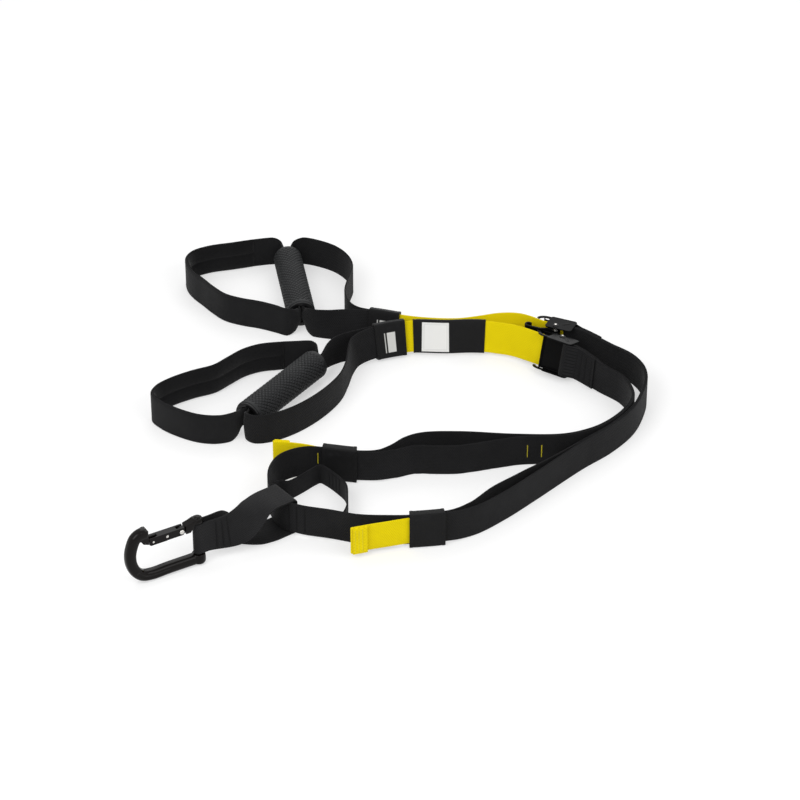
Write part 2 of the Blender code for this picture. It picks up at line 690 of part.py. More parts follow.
def buckle(leg):
    """The cam buckle at the end of a leg: frame, lever, pin and spring."""
    place, forward = leg.buckle_place()
    frame = frame_at(place.foot, forward, place.side, place.rise)
    low, high = -LAP_GAP, WEB_WIDTH + LAP_GAP
    cam_y = LAP + WEB_THICK / 2 + CAM_CLEAR + CAM_RADIUS
    outline = rounded_box(-CHEEK_TAIL, CHEEK_NOSE, -BAR_WRAP - BAR_RADIUS - CHEEK_THICK,
                          cam_y + CAM_RADIUS, CHEEK_CORNER)
    plate_mid = LAP - WEB_THICK / 2 - LAP_GAP - PLATE_THICK / 2
    plate_start = BAR_WRAP + WEB_THICK / 2 + CAM_CLEAR
    arm_end = CHEEK_NOSE + ARM_LENGTH
    arm_line = [(plate_start, plate_mid), (CHEEK_NOSE * 0.9, plate_mid), (arm_end - PLATE_THICK, plate_mid),
                (arm_end, plate_mid - PLATE_THICK * 0.4), (arm_end + PLATE_THICK * 0.8, plate_mid - PLATE_THICK * 1.5)]
    hole = CAM_PIN_RADIUS + LAP_GAP
    into = CHEEK_THICK * 0.5
    shapes = [holed_plate(outline, (CAM_REACH, cam_y), hole, low - CHEEK_THICK, low),
              holed_plate(outline, (CAM_REACH, cam_y), hole, high, high + CHEEK_THICK),
              prism(thick_line(arm_line, PLATE_THICK), low - into, high + into, STILL),
              turned([(BAR_RADIUS, low - into), (BAR_RADIUS, high + into)],
                     Matrix.Translation((0, -BAR_WRAP, 0)), 12)]
    new_object(f"cam_frame_{leg.tag}", moved(combine(shapes, "UNION"), frame), BUCKLE_PAINT)

    pin_spot = Matrix.Translation((CAM_REACH, cam_y, 0))
    shoulder = CHEEK_THICK + LAP_GAP
    rows = [(CAM_PIN_HEAD, low - shoulder - HEAD_THICK * 0.8), (CAM_PIN_HEAD, low - shoulder),
            (CAM_PIN_RADIUS, low - shoulder), (CAM_PIN_RADIUS, high + shoulder), (CAM_PIN_HEAD, high + shoulder),
            (CAM_PIN_HEAD, high + shoulder + HEAD_THICK * 0.5), (CAM_PIN_HEAD * 0.7, high + shoulder + HEAD_THICK)]
    new_object(f"cam_pin_{leg.tag}", moved(turned(rows, pin_spot, 16), frame), PIN_STEEL)

    coil_pitch = SPRING_WIRE * 2 + LAP_GAP * 1.5
    spring_room = coil_pitch * (SPRING_TURNS + 0.5) + SPRING_WIRE * 2
    lever_low, lever_high = low + LAP_GAP, high - LAP_GAP - spring_room
    teeth = []
    tooth_count = 24
    for k in range(tooth_count):
        angle = math.tau * (k + 0.5) / tooth_count
        cutting = math.cos(angle + math.radians(70)) > 0.45
        radius = CAM_RADIUS - (TOOTH_DEPTH if cutting and k % 2 else 0)
        teeth.append((CAM_REACH + radius * math.cos(angle), cam_y + radius * math.sin(angle)))
    tip_x, tip_y = CAM_REACH + LEVER_LENGTH, cam_y + LEVER_RISE
    curl = arc((tip_x, tip_y - LEVER_CURL), LEVER_CURL, 90, -130, 8)
    root = CAM_RADIUS * 0.78
    arm = [(CAM_REACH + root * 0.4, cam_y + root * 0.9), (CAM_REACH + root * 1.6, cam_y + root),
           (CAM_REACH + LEVER_LENGTH * 0.5, tip_y)] + curl
    solid = combine([holed_plate(teeth, (CAM_REACH, cam_y), hole, lever_low, lever_high),
                     prism(thick_line(arm, LEVER_THICK), lever_low + CHEEK_CORNER, lever_high - CHEEK_CORNER, STILL)],
                    "UNION")
    made = new_object(f"cam_lever_{leg.tag}", moved(solid, frame), BUCKLE_PAINT)
    on_axis(made, frame @ pin_spot.translation)

    coil_radius = CAM_PIN_RADIUS + LAP_GAP + SPRING_WIRE
    base = lever_high + LAP_GAP + SPRING_WIRE
    steps = 10
    rings = []
    for k in range(SPRING_TURNS * steps + 1):
        angle = math.tau * k / steps
        out = Vector((math.cos(angle), math.sin(angle), 0))
        centre = pin_spot.translation + out * coil_radius + Vector((0, 0, base + coil_pitch * k / steps))
        wire = [out, Vector((0, 0, 1)), -out, Vector((0, 0, -1))]
        rings.append([frame @ (centre + w * SPRING_WIRE) for w in wire])
    sweep(f"cam_spring_{leg.tag}", rings, SPRING_STEEL)


def lower_strap(leg, point_shares):
    """The yellow strap from the cam buckle to the handle's keeper; gives its course."""
    rows = []
    turn = 1 if leg.towards_end else -1
    for along in (0.0, CAM_REACH, CHEEK_NOSE, CHEEK_NOSE + ARM_LENGTH):
        rows.append(MAIN.row_on(leg.s(-along), LAP, turn))
    rows += [(*plan(row)[:2], row[2], -row[3], row[4]) for row in point_shares]
    course = Course(rows)
    keeper = course.length - HANDLE_KEEPER_LENGTH
    label_end = keeper - WEB_THICK * LABEL_SPACE
    end = course.length - HANDLE_KEEPER_LENGTH * 0.4
    arm = CHEEK_NOSE + ARM_LENGTH
    course.settle([JOIN + LAP_GAP, CHEEK_NOSE, arm, label_end - LABEL_LENGTH, label_end, keeper, end,
                   course.length])
    sweep(f"lower_strap_{leg.tag}", strap_rings(course, course.between(JOIN + LAP_GAP, end)), YELLOW_WEB)
    return course


def grip(tag, grip_shares):
    """A handle's grip sleeve on its tube, with the tube's two mouths."""
    far, near = plan(grip_shares[0]), plan(grip_shares[1])
    middle = (far + near) / 2
    middle.z = GRIP_HEIGHT
    along = (far - near).normalized()
    across = Vector((0, 0, 1)).cross(along)
    frame = frame_at(middle, across, Vector((0, 0, 1)), along)
    half = GRIP_LENGTH / 2
    rim = half + LAP_GAP + RIM_THICK
    rows = [(TUBE_RIM, -rim), (TUBE_RIM, -rim + RIM_THICK), (TUBE_RADIUS, -rim + RIM_THICK),
            (TUBE_RADIUS, rim - RIM_THICK), (TUBE_RIM, rim - RIM_THICK), (TUBE_RIM, rim)]
    tube = new_object(f"grip_tube_{tag}", pipe(TUBE_BORE, rows, frame), TUBE_PLASTIC)
    edge = GRIP_RADIUS - TUBE_RADIUS - LAP_GAP
    rows = [(GRIP_RADIUS - edge * 0.5, -half), (GRIP_RADIUS, -half + edge), (GRIP_RADIUS, half - edge),
            (GRIP_RADIUS - edge * 0.5, half)]
    cover = new_object(f"grip_sleeve_{tag}", pipe(TUBE_RADIUS + LAP_GAP, rows, frame), GRIP_RUBBER)
    for made in (tube, cover):
        on_axis(made, middle)
    return middle, along, rim


def handle(tag, lower, grip_shares, rear_shares, front_shares, cradle_shares):
    """The strap through a grip, its keeper, the foot cradle and the cradle's pad."""
    middle, along, rim = grip(tag, grip_shares)
    end = lower.length
    start = end - HANDLE_KEEPER_LENGTH
    span = (-WEB_THICK / 2 - LAP, WEB_THICK / 2 + LAP)
    sleeve(f"handle_keeper_{tag}", lower, start, end, span, SLEEVE_WALL, SLEEVE_FABRIC)

    # The lower course heads for the handle, with its left side to the camera.
    triangle_side = Vector((along.y, -along.x, 0))
    half_lap = LAP / 2
    straight = WEB_WIDTH * 0.12

    def mouth(sign, lateral, beyond):
        point = middle + along * sign * (rim + beyond) + triangle_side * lateral
        return (point.x, point.y, 0, 0, 1)

    held = lower.between(start, end)
    rows = [lower.row_on(s, -LAP) for s in held]
    rows += [(*plan(r)[:2], r[2], -r[3], r[4]) for r in rear_shares]
    steps = (straight, straight * 0.5, 0.0, -straight)
    rows += [mouth(1, half_lap, d) for d in steps] + [mouth(0, half_lap, 0)]
    rows += [mouth(-1, half_lap, d) for d in steps[::-1]]
    rows += [(*plan(r)[:2], r[2], r[3], r[4]) for r in front_shares]
    rows += [lower.row_on(s, LAP, -1) for s in held[::-1]]
    course = Course(rows)
    rear_end = course.nearest(Vector(rows[len(held) - 1][:2]).to_3d())
    mouths = [course.nearest(Vector(mouth(sign, half_lap, d)[:2]).to_3d()) for sign in (1, -1) for d in steps]
    front_start = course.nearest(Vector(rows[-len(held)][:2]).to_3d())
    course.settle([rear_end, *mouths, front_start])
    free = course.marks[1:-1]
    rings = [strap_ring(lower.place(s), -LAP) for s in held]
    rings += strap_rings(course, free)
    rings += [strap_ring(lower.place(s), LAP) for s in held[::-1]]
    sweep(f"handle_strap_{tag}", same_way(rings), BLACK_WEB)

    tuck = rim * 0.22
    rows = [mouth(1, -half_lap, d) for d in (-tuck, -straight, 0.0, straight * 0.5, straight)]
    rows += [(*plan(r)[:2], r[2], r[3], r[4]) for r in cradle_shares]
    rows += [mouth(-1, -half_lap, d) for d in (straight, straight * 0.5, 0.0, -straight, -tuck)]
    loop = Course(rows)
    mouths = [loop.nearest(Vector(mouth(sign, -half_lap, d)[:2]).to_3d()) for sign in (1, -1) for d in steps]
    loop.settle([0, *mouths, loop.length])
    taper = WEB_WIDTH * 1.3

    def thick(s):
        edge = min(s, loop.length - s) / taper
        return WEB_THICK + (CRADLE_THICK - WEB_THICK) * min(max(edge - 0.6, 0), 1)

    marks = loop.marks
    sweep(f"foot_cradle_{tag}", strap_rings(loop, marks, 0.0, thick), CRADLE_WEB)
    inner = CRADLE_THICK / 2 + LAP_GAP + PAD_THICK / 2
    rings = []
    for s in marks:
        if loop.length * 0.17 < s < loop.length * 0.87:
            rings.append(strap_ring(loop.place(s), inner, PAD_THICK, PAD_INSET, WEB_WIDTH - PAD_INSET))
    sweep(f"cradle_pad_{tag}", rings, CRADLE_WEB)


def beside_main(fast, across, point_shares, turn):
    """A course that starts beside the main strap at the distances fast and goes on through its own points."""
    rows = [MAIN.row_on(s, across, turn) for s in fast[-2:]]
    rows += [(*plan(row)[:2], *row[2:]) for row in point_shares]
    course = Course(rows)
    return course, course.nearest(Vector(rows[1][:2]).to_3d())


def keeper_and_tab(leg, tab_shares):
    """The sleeve that slides on the main strap, and the pull tab that is sewn in it."""
    start, end = sorted((leg.keeper_inner, leg.keeper_outer))
    span = (-WEB_THICK / 2 - LAP, WEB_THICK / 2 + LAP)
    sleeve(f"slider_keeper_{leg.tag}", MAIN, start, end, span, SLEEVE_WALL, SLEEVE_FABRIC)
    fast = MAIN.between(leg.keeper_outer, leg.keeper_inner)
    course, begin = beside_main(fast, -LAP, tab_shares, -1 if leg.towards_end else 1)
    block = course.length - TAB_BLOCK_LENGTH
    middle, half = WEB_WIDTH / 2, TAB_WIDTH / 2
    rings = [strap_ring(MAIN.place(s), -LAP, WEB_THICK, middle - half, middle + half) for s in fast]
    for s in course.stations(begin, block)[1:]:
        rings.append(strap_ring(course.place(s), 0.0, WEB_THICK, middle - half, middle + half))
    # The folded end block grows away from the main strap.
    step, grow = WEB_THICK * 0.25, (TAB_BLOCK_THICK - WEB_THICK) / 2
    away = 1 if leg.towards_end else -1
    half += WEB_THICK / 2
    for s in course.stations(block + step, course.length):
        rings.append(strap_ring(course.place(s), away * grow, TAB_BLOCK_THICK, middle - half, middle + half))
    sweep(f"pull_tab_{leg.tag}", same_way(rings), YELLOW_WEB)


def locking_loop():
    """The narrow strap that ties the two legs together below the anchor."""
    start = MAIN.between(LOCK_START + LOCK_WIDTH / 2, LOCK_START)
    end = MAIN.between(LOCK_END + LOCK_WIDTH / 2, LOCK_END)
    rows = [MAIN.row_on(s, LAP, -1) for s in start[-2:]]
    rows += [(*plan(row)[:2], *row[2:]) for row in LOCKING_SHARES]
    rows += [MAIN.row_on(s, LAP, -1) for s in end[:2]]
    course = Course(rows)
    free = course.stations(course.nearest(Vector(rows[1][:2]).to_3d()), course.nearest(Vector(rows[-2][:2]).to_3d()))
    rings = [strap_ring(MAIN.place(s), LAP, WEB_THICK, 0.0, LOCK_WIDTH) for s in start]
    rings += strap_rings(course, free[1:-1], full=LOCK_WIDTH)
    rings += [strap_ring(MAIN.place(s), LAP, WEB_THICK, 0.0, LOCK_WIDTH) for s in end]
    sweep("locking_loop", same_way(rings), BLACK_WEB)


def anchor_loop():
    """The closed loop that joins the carabiner's bar to the folded main strap, with a quarter turn between."""
    bar, crossing = plan(BAR_SHARES), plan(CROSSING_SHARES)
    travel = (crossing - bar).normalized()
    near = Vector((travel.y, -travel.x, 0))
    up = Vector((0, 0, 1))
    run = (crossing - bar).length
    bar_middle = (LOW_BOSS_TOP + HIGH_BOSS_FOOT) / 2
    strap_lift = SLEEVE_LIFT * 1.2
    low_layer, high_layer = WEB_THICK / 2 + LAP_GAP, strap_lift + WEB_WIDTH + LAP_GAP * 2 + WEB_THICK / 2
    cross_middle, cross_half = (low_layer + high_layer) / 2, (high_layer - low_layer) / 2
    wrap = CAPTIVE_RADIUS + LAP_GAP + WEB_THICK / 2
    past = WEB_WIDTH * 0.42
    share_rows = [(0.0, 0.0, 0.0), (0.16, 0.03, 0.03), (0.34, 0.16, 0.18), (0.50, 0.42, 0.42), (0.66, 0.76, 0.72),
                  (0.80, 0.96, 0.92), (0.90, 1.0, 1.0), (1.0, 1.0, 1.0)]

    def layer(sign, share, turn, open_share):
        angle = math.pi / 2 * turn
        middle = bar_middle + (cross_middle - bar_middle) * min(max(share - 0.1, 0) * 1.6, 1)
        radius = wrap + (cross_half - wrap) * open_share
        outward = near * math.cos(angle) * sign + up * math.sin(angle) * sign
        width = up * math.cos(angle) - near * math.sin(angle)
        centre = bar + travel * run * share + up * middle + outward * radius
        return centre, outward, width

    stations = [layer(1, *row) for row in share_rows]
    # The inside end stands flat across the strap, so its corners are squared off rather than round.
    squared = [(crossing + travel * past * 0.75 + up * high_layer, (up + travel * 0.5).normalized(), -near),
               (crossing + travel * past + up * (high_layer - past * 0.25), (travel + up * 0.5).normalized(), -near),
               (crossing + travel * past + up * (low_layer + past * 0.25), (travel - up * 0.5).normalized(), -near),
               (crossing + travel * past * 0.75 + up * low_layer, (travel * 0.5 - up).normalized(), -near)]
    stations += squared
    stations += [layer(-1, *row) for row in share_rows[::-1]]
    for k in range(1, 8):
        angle = math.pi * k / 8
        outward = -near * math.cos(angle) - travel * math.sin(angle)
        stations.append((bar + up * bar_middle + outward * wrap, outward, up))
    half, tall = WEB_THICK / 2, WEB_WIDTH / 2
    rings = [[c - o * half - w * tall, c + o * half - w * tall, c + o * half + w * tall, c - o * half + w * tall]
             for c, o, w in stations]
    sweep("anchor_loop", rings, SHINY_WEB, closed=True)


def rod_rings(centre_line, deep, half, sides=10):
    """Rounded square sections along a line in the x-y plane."""
    rings = []
    for i, p in enumerate(centre_line):
        a, b = centre_line[max(i - 1, 0)], centre_line[min(i + 1, len(centre_line) - 1)]
        along = Vector((b[0] - a[0], b[1] - a[1], 0)).normalized()
        across = Vector((-along.y, along.x, 0))
        ring = []
        for k in range(sides):
            angle = math.tau * (k + 0.5) / sides
            u, v = math.cos(angle), math.sin(angle)
            u = math.copysign(abs(u) ** 0.75, u) * deep
            v = math.copysign(abs(v) ** 0.75, v) * half
            ring.append(Vector((p[0], p[1], 0)) + across * u + Vector((0, 0, v)))
        rings.append(ring)
    return rings


def scaled(point_shares):
    """Points in metres from points in squares of the carabiner's own grid."""
    return [(x * CARABINER_STEP, y * CARABINER_STEP) for x, y in point_shares]


def carabiner():
    """Body, captive bar, gate, rivet, latch pin, plunger and spring, standing on its spine."""
    bar = plan(BAR_SHARES)
    inward = Vector((-math.cos(CARABINER_ANGLE), -math.sin(CARABINER_ANGLE), 0))
    up = Vector((0, 0, 1))
    # x runs from the bar to the nose, y up, z through the thickness.
    frame = frame_at(bar, inward, up, inward.cross(up))
    half = CARABINER_THICK / 2
    tongue = TONGUE_THICK / 2
    line = blend_rows(scaled(BODY_LINE_SHARES), 2)
    rod = mesh_of(lambda grid: skin_rings(grid, rod_rings(line, CARABINER_DEEP / 2, half)))

    bar_frame = frame_at(Vector((0, LOW_BOSS_TOP, 0)), Vector((1, 0, 0)), Vector((0, 0, -1)), Vector((0, 1, 0)))
    tall = HIGH_BOSS_FOOT - LOW_BOSS_TOP
    foot = LOW_BOSS_TOP * 0.94
    top = tall + HIGH_BOSS_THICK
    low_boss = turned([(BOSS_RADIUS * 0.75, -foot), (BOSS_RADIUS, -foot * 0.75), (BOSS_RADIUS, -foot * 0.35),
                       (BOSS_RADIUS * 0.9, 0)], bar_frame, 16)
    high_boss = turned([(BOSS_RADIUS * 0.72, tall), (BOSS_RADIUS * 0.82, tall + HIGH_BOSS_THICK * 0.4),
                        (BOSS_RADIUS * 0.7, top)], bar_frame, 16)
    arm = prism(scaled(ARM_SHARES), -half * 0.85, half * 0.85, STILL)
    pivot = scaled([PIVOT_SHARE])[0]
    eye_radius = GATE_DEEP * 0.42
    root = pivot[0] - eye_radius * 1.7
    eye = prism(arc(pivot, eye_radius, -90, 90, 8) + [(root, pivot[1] + eye_radius), (root, pivot[1] - eye_radius)],
                -tongue, tongue, STILL)
    hook = prism(scaled(HOOK_SHARES), -tongue, tongue, STILL)
    nose = prism(scaled(NOSE_SHARES), -half * 0.9, half * 0.9, STILL)
    body = combine([rod, low_boss, nose, hook], "UNION")
    hinge_arm = combine([high_boss, arm, eye], "UNION")
    stem = CAPTIVE_RADIUS * 0.8
    rivet_spot = Matrix.Translation((*pivot, 0))
    through = CARABINER_THICK

    def bore(radius, spot, sides=12):
        return turned([(radius + LAP_GAP, -through), (radius + LAP_GAP, through)], spot, sides)

    def bar_hole():
        return turned([(stem, -foot * 0.7), (stem, top * 1.5)], bar_frame, 16)

    new_object("carabiner_body", moved(combine([body, bar_hole()], "DIFFERENCE"), frame), CARABINER_COAT)
    solid = combine([hinge_arm, bar_hole(), bore(RIVET_RADIUS, rivet_spot)], "DIFFERENCE")
    new_object("carabiner_hinge_arm", moved(solid, frame), CARABINER_COAT)

    pin = stem - LAP_GAP
    rows = [(pin, LAP_GAP - foot * 0.7), (pin, LAP_GAP), (CAPTIVE_RADIUS, LAP_GAP),
            (CAPTIVE_RADIUS, tall - LAP_GAP), (pin, tall - LAP_GAP), (pin, top + LAP_GAP),
            (pin * 1.5, top + LAP_GAP), (pin * 1.5, top + HEAD_THICK), (pin, top + HEAD_THICK * 1.4)]
    new_object("captive_bar", moved(turned(rows, bar_frame, 16), frame), CARABINER_COAT)

    latch = scaled([LATCH_SHARE])[0]
    latch_spot = Matrix.Translation((*latch, 0))
    plunger_spot = Matrix.Translation((0, pivot[1], 0)) @ Matrix.Rotation(math.pi / 2, 4, "Y")
    plunger = LATCH_RADIUS * 1.25
    spring_start, spring_end = scaled([(0.325, 0.44)])[0]
    bore_start = scaled([(0.20, 0)])[0][0]
    shell = prism(scaled(GATE_SHARES), -GATE_THICK / 2, GATE_THICK / 2, STILL)
    slot = GATE_SLOT / 2
    hinge_slot = prism(scaled([(0.10, 0.30), (0.258, 0.30), (0.258, 0.70), (0.10, 0.70)]), -slot, slot, STILL)
    hook_slot = prism(scaled([(0.488, 0.506), (0.70, 0.506), (0.70, 0.70), (0.488, 0.70)]), -slot, slot, STILL)
    plunger_bore = turned([(plunger + LAP_GAP, bore_start), (plunger + LAP_GAP, spring_end + LAP_GAP)],
                          plunger_spot, 10)
    gate = combine([shell, hinge_slot, hook_slot, bore(LATCH_RADIUS, latch_spot, 10),
                    bore(RIVET_RADIUS, rivet_spot), plunger_bore], "DIFFERENCE")
    made = new_object("carabiner_gate", moved(gate, frame), CARABINER_COAT)
    on_axis(made, frame @ rivet_spot.translation)

    head = RIVET_RADIUS * 1.45
    reach = GATE_THICK / 2 + LAP_GAP
    rows = [(head * 0.8, -reach - HEAD_THICK * 0.7), (head, -reach - HEAD_THICK * 0.4), (head, -reach),
            (RIVET_RADIUS, -reach), (RIVET_RADIUS, reach), (head, reach), (head, reach + HEAD_THICK * 0.4),
            (head * 0.8, reach + HEAD_THICK * 0.7)]
    new_object("gate_rivet", moved(turned(rows, rivet_spot, 16), frame), PIN_STEEL)
    rows = [(LATCH_RADIUS, -GATE_THICK / 2), (LATCH_RADIUS, GATE_THICK / 2)]
    new_object("gate_latch_pin", moved(turned(rows, latch_spot, 12), frame), PIN_STEEL)
    start = pivot[0] + eye_radius + LAP_GAP
    rows = [(plunger * 0.8, start), (plunger, start + plunger * 0.4), (plunger, spring_start)]
    new_object("gate_plunger", moved(turned(rows, plunger_spot, 12), frame), PIN_STEEL)
    rows = [(plunger, spring_start + LAP_GAP), (plunger, spring_end)]
    new_object("gate_spring", moved(pipe(plunger * 0.5, rows, plunger_spot, 12), frame), SPRING_STEEL)


def label(course):
    """The label sleeve on strap A, between the keeper and the buckle."""
    end = course.length - HANDLE_KEEPER_LENGTH - WEB_THICK * LABEL_SPACE
    span = (-WEB_THICK / 2, WEB_THICK / 2)
    sleeve("label_sleeve", course, end - LABEL_LENGTH, end, span, LABEL_WALL, LABEL_FABRIC)


main_strap()
for strap_leg, bow in ((LEG_A, BOW_A_SHARES), (LEG_B, BOW_B_SHARES)):
    adjuster(strap_leg, bow)
    buckle(strap_leg)
LOWER_A = lower_strap(LEG_A, LOWER_A_SHARES)
LOWER_B = lower_strap(LEG_B, LOWER_B_SHARES)
label(LOWER_A)
keeper_and_tab(LEG_A, TAB_A_SHARES)
keeper_and_tab(LEG_B, TAB_B_SHARES)
handle("a", LOWER_A, GRIP_A_SHARES, REAR_A_SHARES, FRONT_A_SHARES, CRADLE_A_SHARES)
handle("b", LOWER_B, GRIP_B_SHARES, REAR_B_SHARES, FRONT_B_SHARES, CRADLE_B_SHARES)
anchor_loop()
locking_loop()
carabiner()
for thing in bpy.data.objects:
    thing.data.shade_smooth()
    thing.data.set_sharp_from_angle(angle=math.radians(35))
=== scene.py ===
"""A suspension trainer, dressed: webbing, cam buckles, grips, foot cradles and carabiner.

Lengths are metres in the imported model's frame: +Z up, the origin at the middle of the footprint. The webbing
stands on edge on a table, so a strap is read as a course of stations, each with its foot on the table, a side
across its face and a rise along its width.
"""

import logging
from bisect import bisect_right
from dataclasses import dataclass, replace
from enum import Enum
from math import copysign, cos, dist, exp, hypot, pi, radians, sin, sqrt, tau
from typing import Iterable, Sequence

import bmesh
import bpy
from mathutils import Matrix, Vector


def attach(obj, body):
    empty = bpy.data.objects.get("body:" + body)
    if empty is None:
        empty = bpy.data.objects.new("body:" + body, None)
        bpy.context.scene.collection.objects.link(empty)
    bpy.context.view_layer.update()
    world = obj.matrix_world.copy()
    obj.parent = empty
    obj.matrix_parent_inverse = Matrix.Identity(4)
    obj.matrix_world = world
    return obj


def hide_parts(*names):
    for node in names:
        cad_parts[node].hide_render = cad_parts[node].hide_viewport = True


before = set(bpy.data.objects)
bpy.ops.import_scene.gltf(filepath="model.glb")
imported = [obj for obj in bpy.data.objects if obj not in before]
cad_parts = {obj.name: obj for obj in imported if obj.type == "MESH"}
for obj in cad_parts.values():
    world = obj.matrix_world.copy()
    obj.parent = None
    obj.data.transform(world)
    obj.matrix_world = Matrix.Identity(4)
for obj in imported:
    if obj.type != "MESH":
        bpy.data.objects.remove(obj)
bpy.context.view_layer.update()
LOG = logging.getLogger("trainer")

Material = bpy.types.Material
Mesh = bpy.types.Mesh
Node = bpy.types.Node
NodeTree = bpy.types.NodeTree
Row = tuple[float, ...]
Point2 = tuple[float, float]
Rows = Sequence[Row]
Points = Sequence[Point2]

# The node types that come again and again.
MATH = "ShaderNodeMath"
VECTORS = "ShaderNodeVectorMath"
RANGE = "ShaderNodeMapRange"
NOISE = "ShaderNodeTexNoise"
MIX = "ShaderNodeMix"
BUMP = "ShaderNodeBump"


# The layout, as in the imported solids: route points count squares of this plan grid.
GRID = 0.1
PLAN_CENTRE = (-0.0215, -0.248)
WEB_WIDTH = 0.038
WEB_THICK = 0.0018
LOCK_WIDTH = 0.025
PINCHED_WIDTH = 0.0225
LAP_GAP = 0.0003
SLEEVE_WALL = 0.002
LEAN_SEAT = 0.0055
KEEPER_LENGTH = 0.038
HANDLE_KEEPER_LENGTH = 0.036
LABEL_LENGTH = 0.083
LABEL_WALL = 0.0008
LAP = WEB_THICK + LAP_GAP
SLEEVE_LIFT = SLEEVE_WALL + LAP_GAP + 0.0002
LEAN_ANGLE = radians(18)
LABEL_SPACE = WEB_THICK * 5
SEWN = WEB_WIDTH * 1.05
THREE_STRAPS = (-WEB_THICK / 2 - LAP, WEB_THICK / 2 + LAP)
FINE_STEP = 0.0042
FINE_TURN = radians(4.5)
STILL = Matrix.Identity(4)
UP = Vector((0, 0, 1))

# Route rows: x, y in grid squares, then lift, lean and pinch, each 0 where left out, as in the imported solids.
MAIN_ROUTE = [
    (1.9, 0.44, 2.2, 0.9), (1.975, 0.39, 2.2, 0.9), (2.08, 0.315, 1.7, 0.75), (2.19, 0.235, 0.9, 0.5),
    (2.29, 0.155, 0.3, 0.2), (2.4, 0.065), (2.53, -0.08), (2.61, -0.29), (2.62, -0.51), (2.49, -0.79),
    (2.25, -1.06), (2.02, -1.2), (1.78, -1.27), (1.26, -1.27), (0.67, -1.22), (0.25, -1.24), (0.06, -1.33),
    (-0.1, -1.5, 0.2), (-0.25, -1.62, 0.8), (-0.46, -1.64, 1), (-0.85, -1.57, 1), (-1.02, -1.55, 0.8),
    (-1.19, -1.585, 0.3), (-1.34, -1.71, 0.3), (-1.43, -2.0, 1.0), (-1.4, -2.34, 1.3), (-1.29, -2.56, 1.3),
    (-1.08, -2.69, 1.3), (-0.75, -2.75, 0.5), (-0.45, -2.82), (-0.1, -2.86, 0.6), (0.1, -2.87, 1),
    (0.47, -2.82, 1), (0.66, -2.75, 0.4), (0.86, -2.63), (1.16, -2.36), (1.46, -2.04), (2.03, -1.41),
    (2.36, -1.09), (2.63, -0.72), (2.77, -0.34), (2.82, -0.06), (2.79, 0.18), (2.67, 0.41), (2.46, 0.61),
    (2.27, 0.785, 0.5), (2.11, 0.895, 1.4), (1.99, 0.95, 1.4),
]
LOWER_A_ROUTE = [
    (1.3, 0.875, 1.3, 1.0), (1.14, 0.935, 1.0, 1.0), (1.0, 0.97, 1.0, 1.0), (0.82, 0.98, 1.0, 1.0),
    (0.55, 0.965, 1.0, 1.0), (0.2, 0.98, 1.0, 1.0), (0.11, 0.97, 1.0, 1.0), (-0.08, 0.92, 1.0, 1.0),
    (-0.27, 0.85, 1.0, 1.0),
]
LOWER_B_ROUTE = [
    (1.4, 1.175, 1.0, 0.6), (1.2, 1.15, 1.0, 1.0), (0.96, 1.085, 1.0, 1.0), (0.72, 1.03, 1.0, 1.0),
    (0.5, 1.025, 1.0, 1.0), (0.22, 1.055, 1.0, 1.0), (0.02, 1.1, 1.0, 1.0), (-0.28, 1.195, 1.0, 1.0),
    (-0.38, 1.22, 1.0, 1.0),
]
# Grip axes in plan: the mouth that faces away from the camera, then the one towards it.
GRIP_A_ROUTE = ((-0.97, 0.5), (-1.73, -0.64))
GRIP_B_ROUTE = ((-1.38, 2.92), (-1.17, 1.57))
# The handle strap's two sides between its keeper and the grip's mouths, and the cradle's loop.
REAR_A_ROUTE = [
    (-0.47, 0.845, 0.4, 0.6), (-0.61, 0.84, 0, 0.2), (-0.75, 0.775), (-0.85, 0.67, 0, 0, 0.3),
]
FRONT_A_ROUTE = [
    (-1.745, -0.815, 0, 0, 0.2), (-1.64, -0.895), (-1.46, -0.87), (-1.2, -0.71), (-0.97, -0.48),
    (-0.78, -0.21), (-0.67, 0.02), (-0.6, 0.3, 0, 0.1), (-0.55, 0.53, 0.2, 0.4), (-0.47, 0.7, 0.6, 0.8),
]
CRADLE_A_ROUTE = [
    (-0.955, 0.625, 0, 0, 0.3), (-1.03, 0.68), (-1.2, 0.675), (-1.44, 0.65), (-1.63, 0.61), (-1.82, 0.5),
    (-1.99, 0.32), (-2.14, 0.16), (-2.38, 0.04), (-2.62, -0.12), (-2.77, -0.28), (-2.81, -0.44), (-2.7, -0.6),
    (-2.5, -0.76), (-2.26, -0.88), (-2.06, -0.905), (-1.91, -0.86), (-1.825, -0.78, 0, 0, 0.35),
]
REAR_B_ROUTE = [
    (-0.53, 1.33, 0.6, 0.8), (-0.62, 1.5, 0.3, 0.35), (-0.655, 1.8), (-0.61, 2.18), (-0.575, 2.42),
    (-0.64, 2.66), (-0.79, 2.87), (-1.0, 3.01), (-1.18, 3.075), (-1.315, 3.06, 0, 0, 0.5),
]
FRONT_B_ROUTE = [
    (-1.12, 1.46, 0, 0, 0.5), (-1.03, 1.385), (-0.86, 1.325, 0, 0.3), (-0.64, 1.265, 0.5, 0.85),
]
CRADLE_B_ROUTE = [
    (-1.445, 3.05, 0, 0, 0.5), (-1.55, 3.07), (-1.77, 3.03), (-2.05, 2.95), (-2.33, 2.87), (-2.52, 2.75),
    (-2.59, 2.59), (-2.56, 2.4), (-2.48, 2.24), (-2.37, 2.09), (-2.25, 1.92), (-2.09, 1.74), (-1.9, 1.64),
    (-1.66, 1.56), (-1.47, 1.47), (-1.34, 1.405), (-1.235, 1.43, 0, 0, 0.5),
]
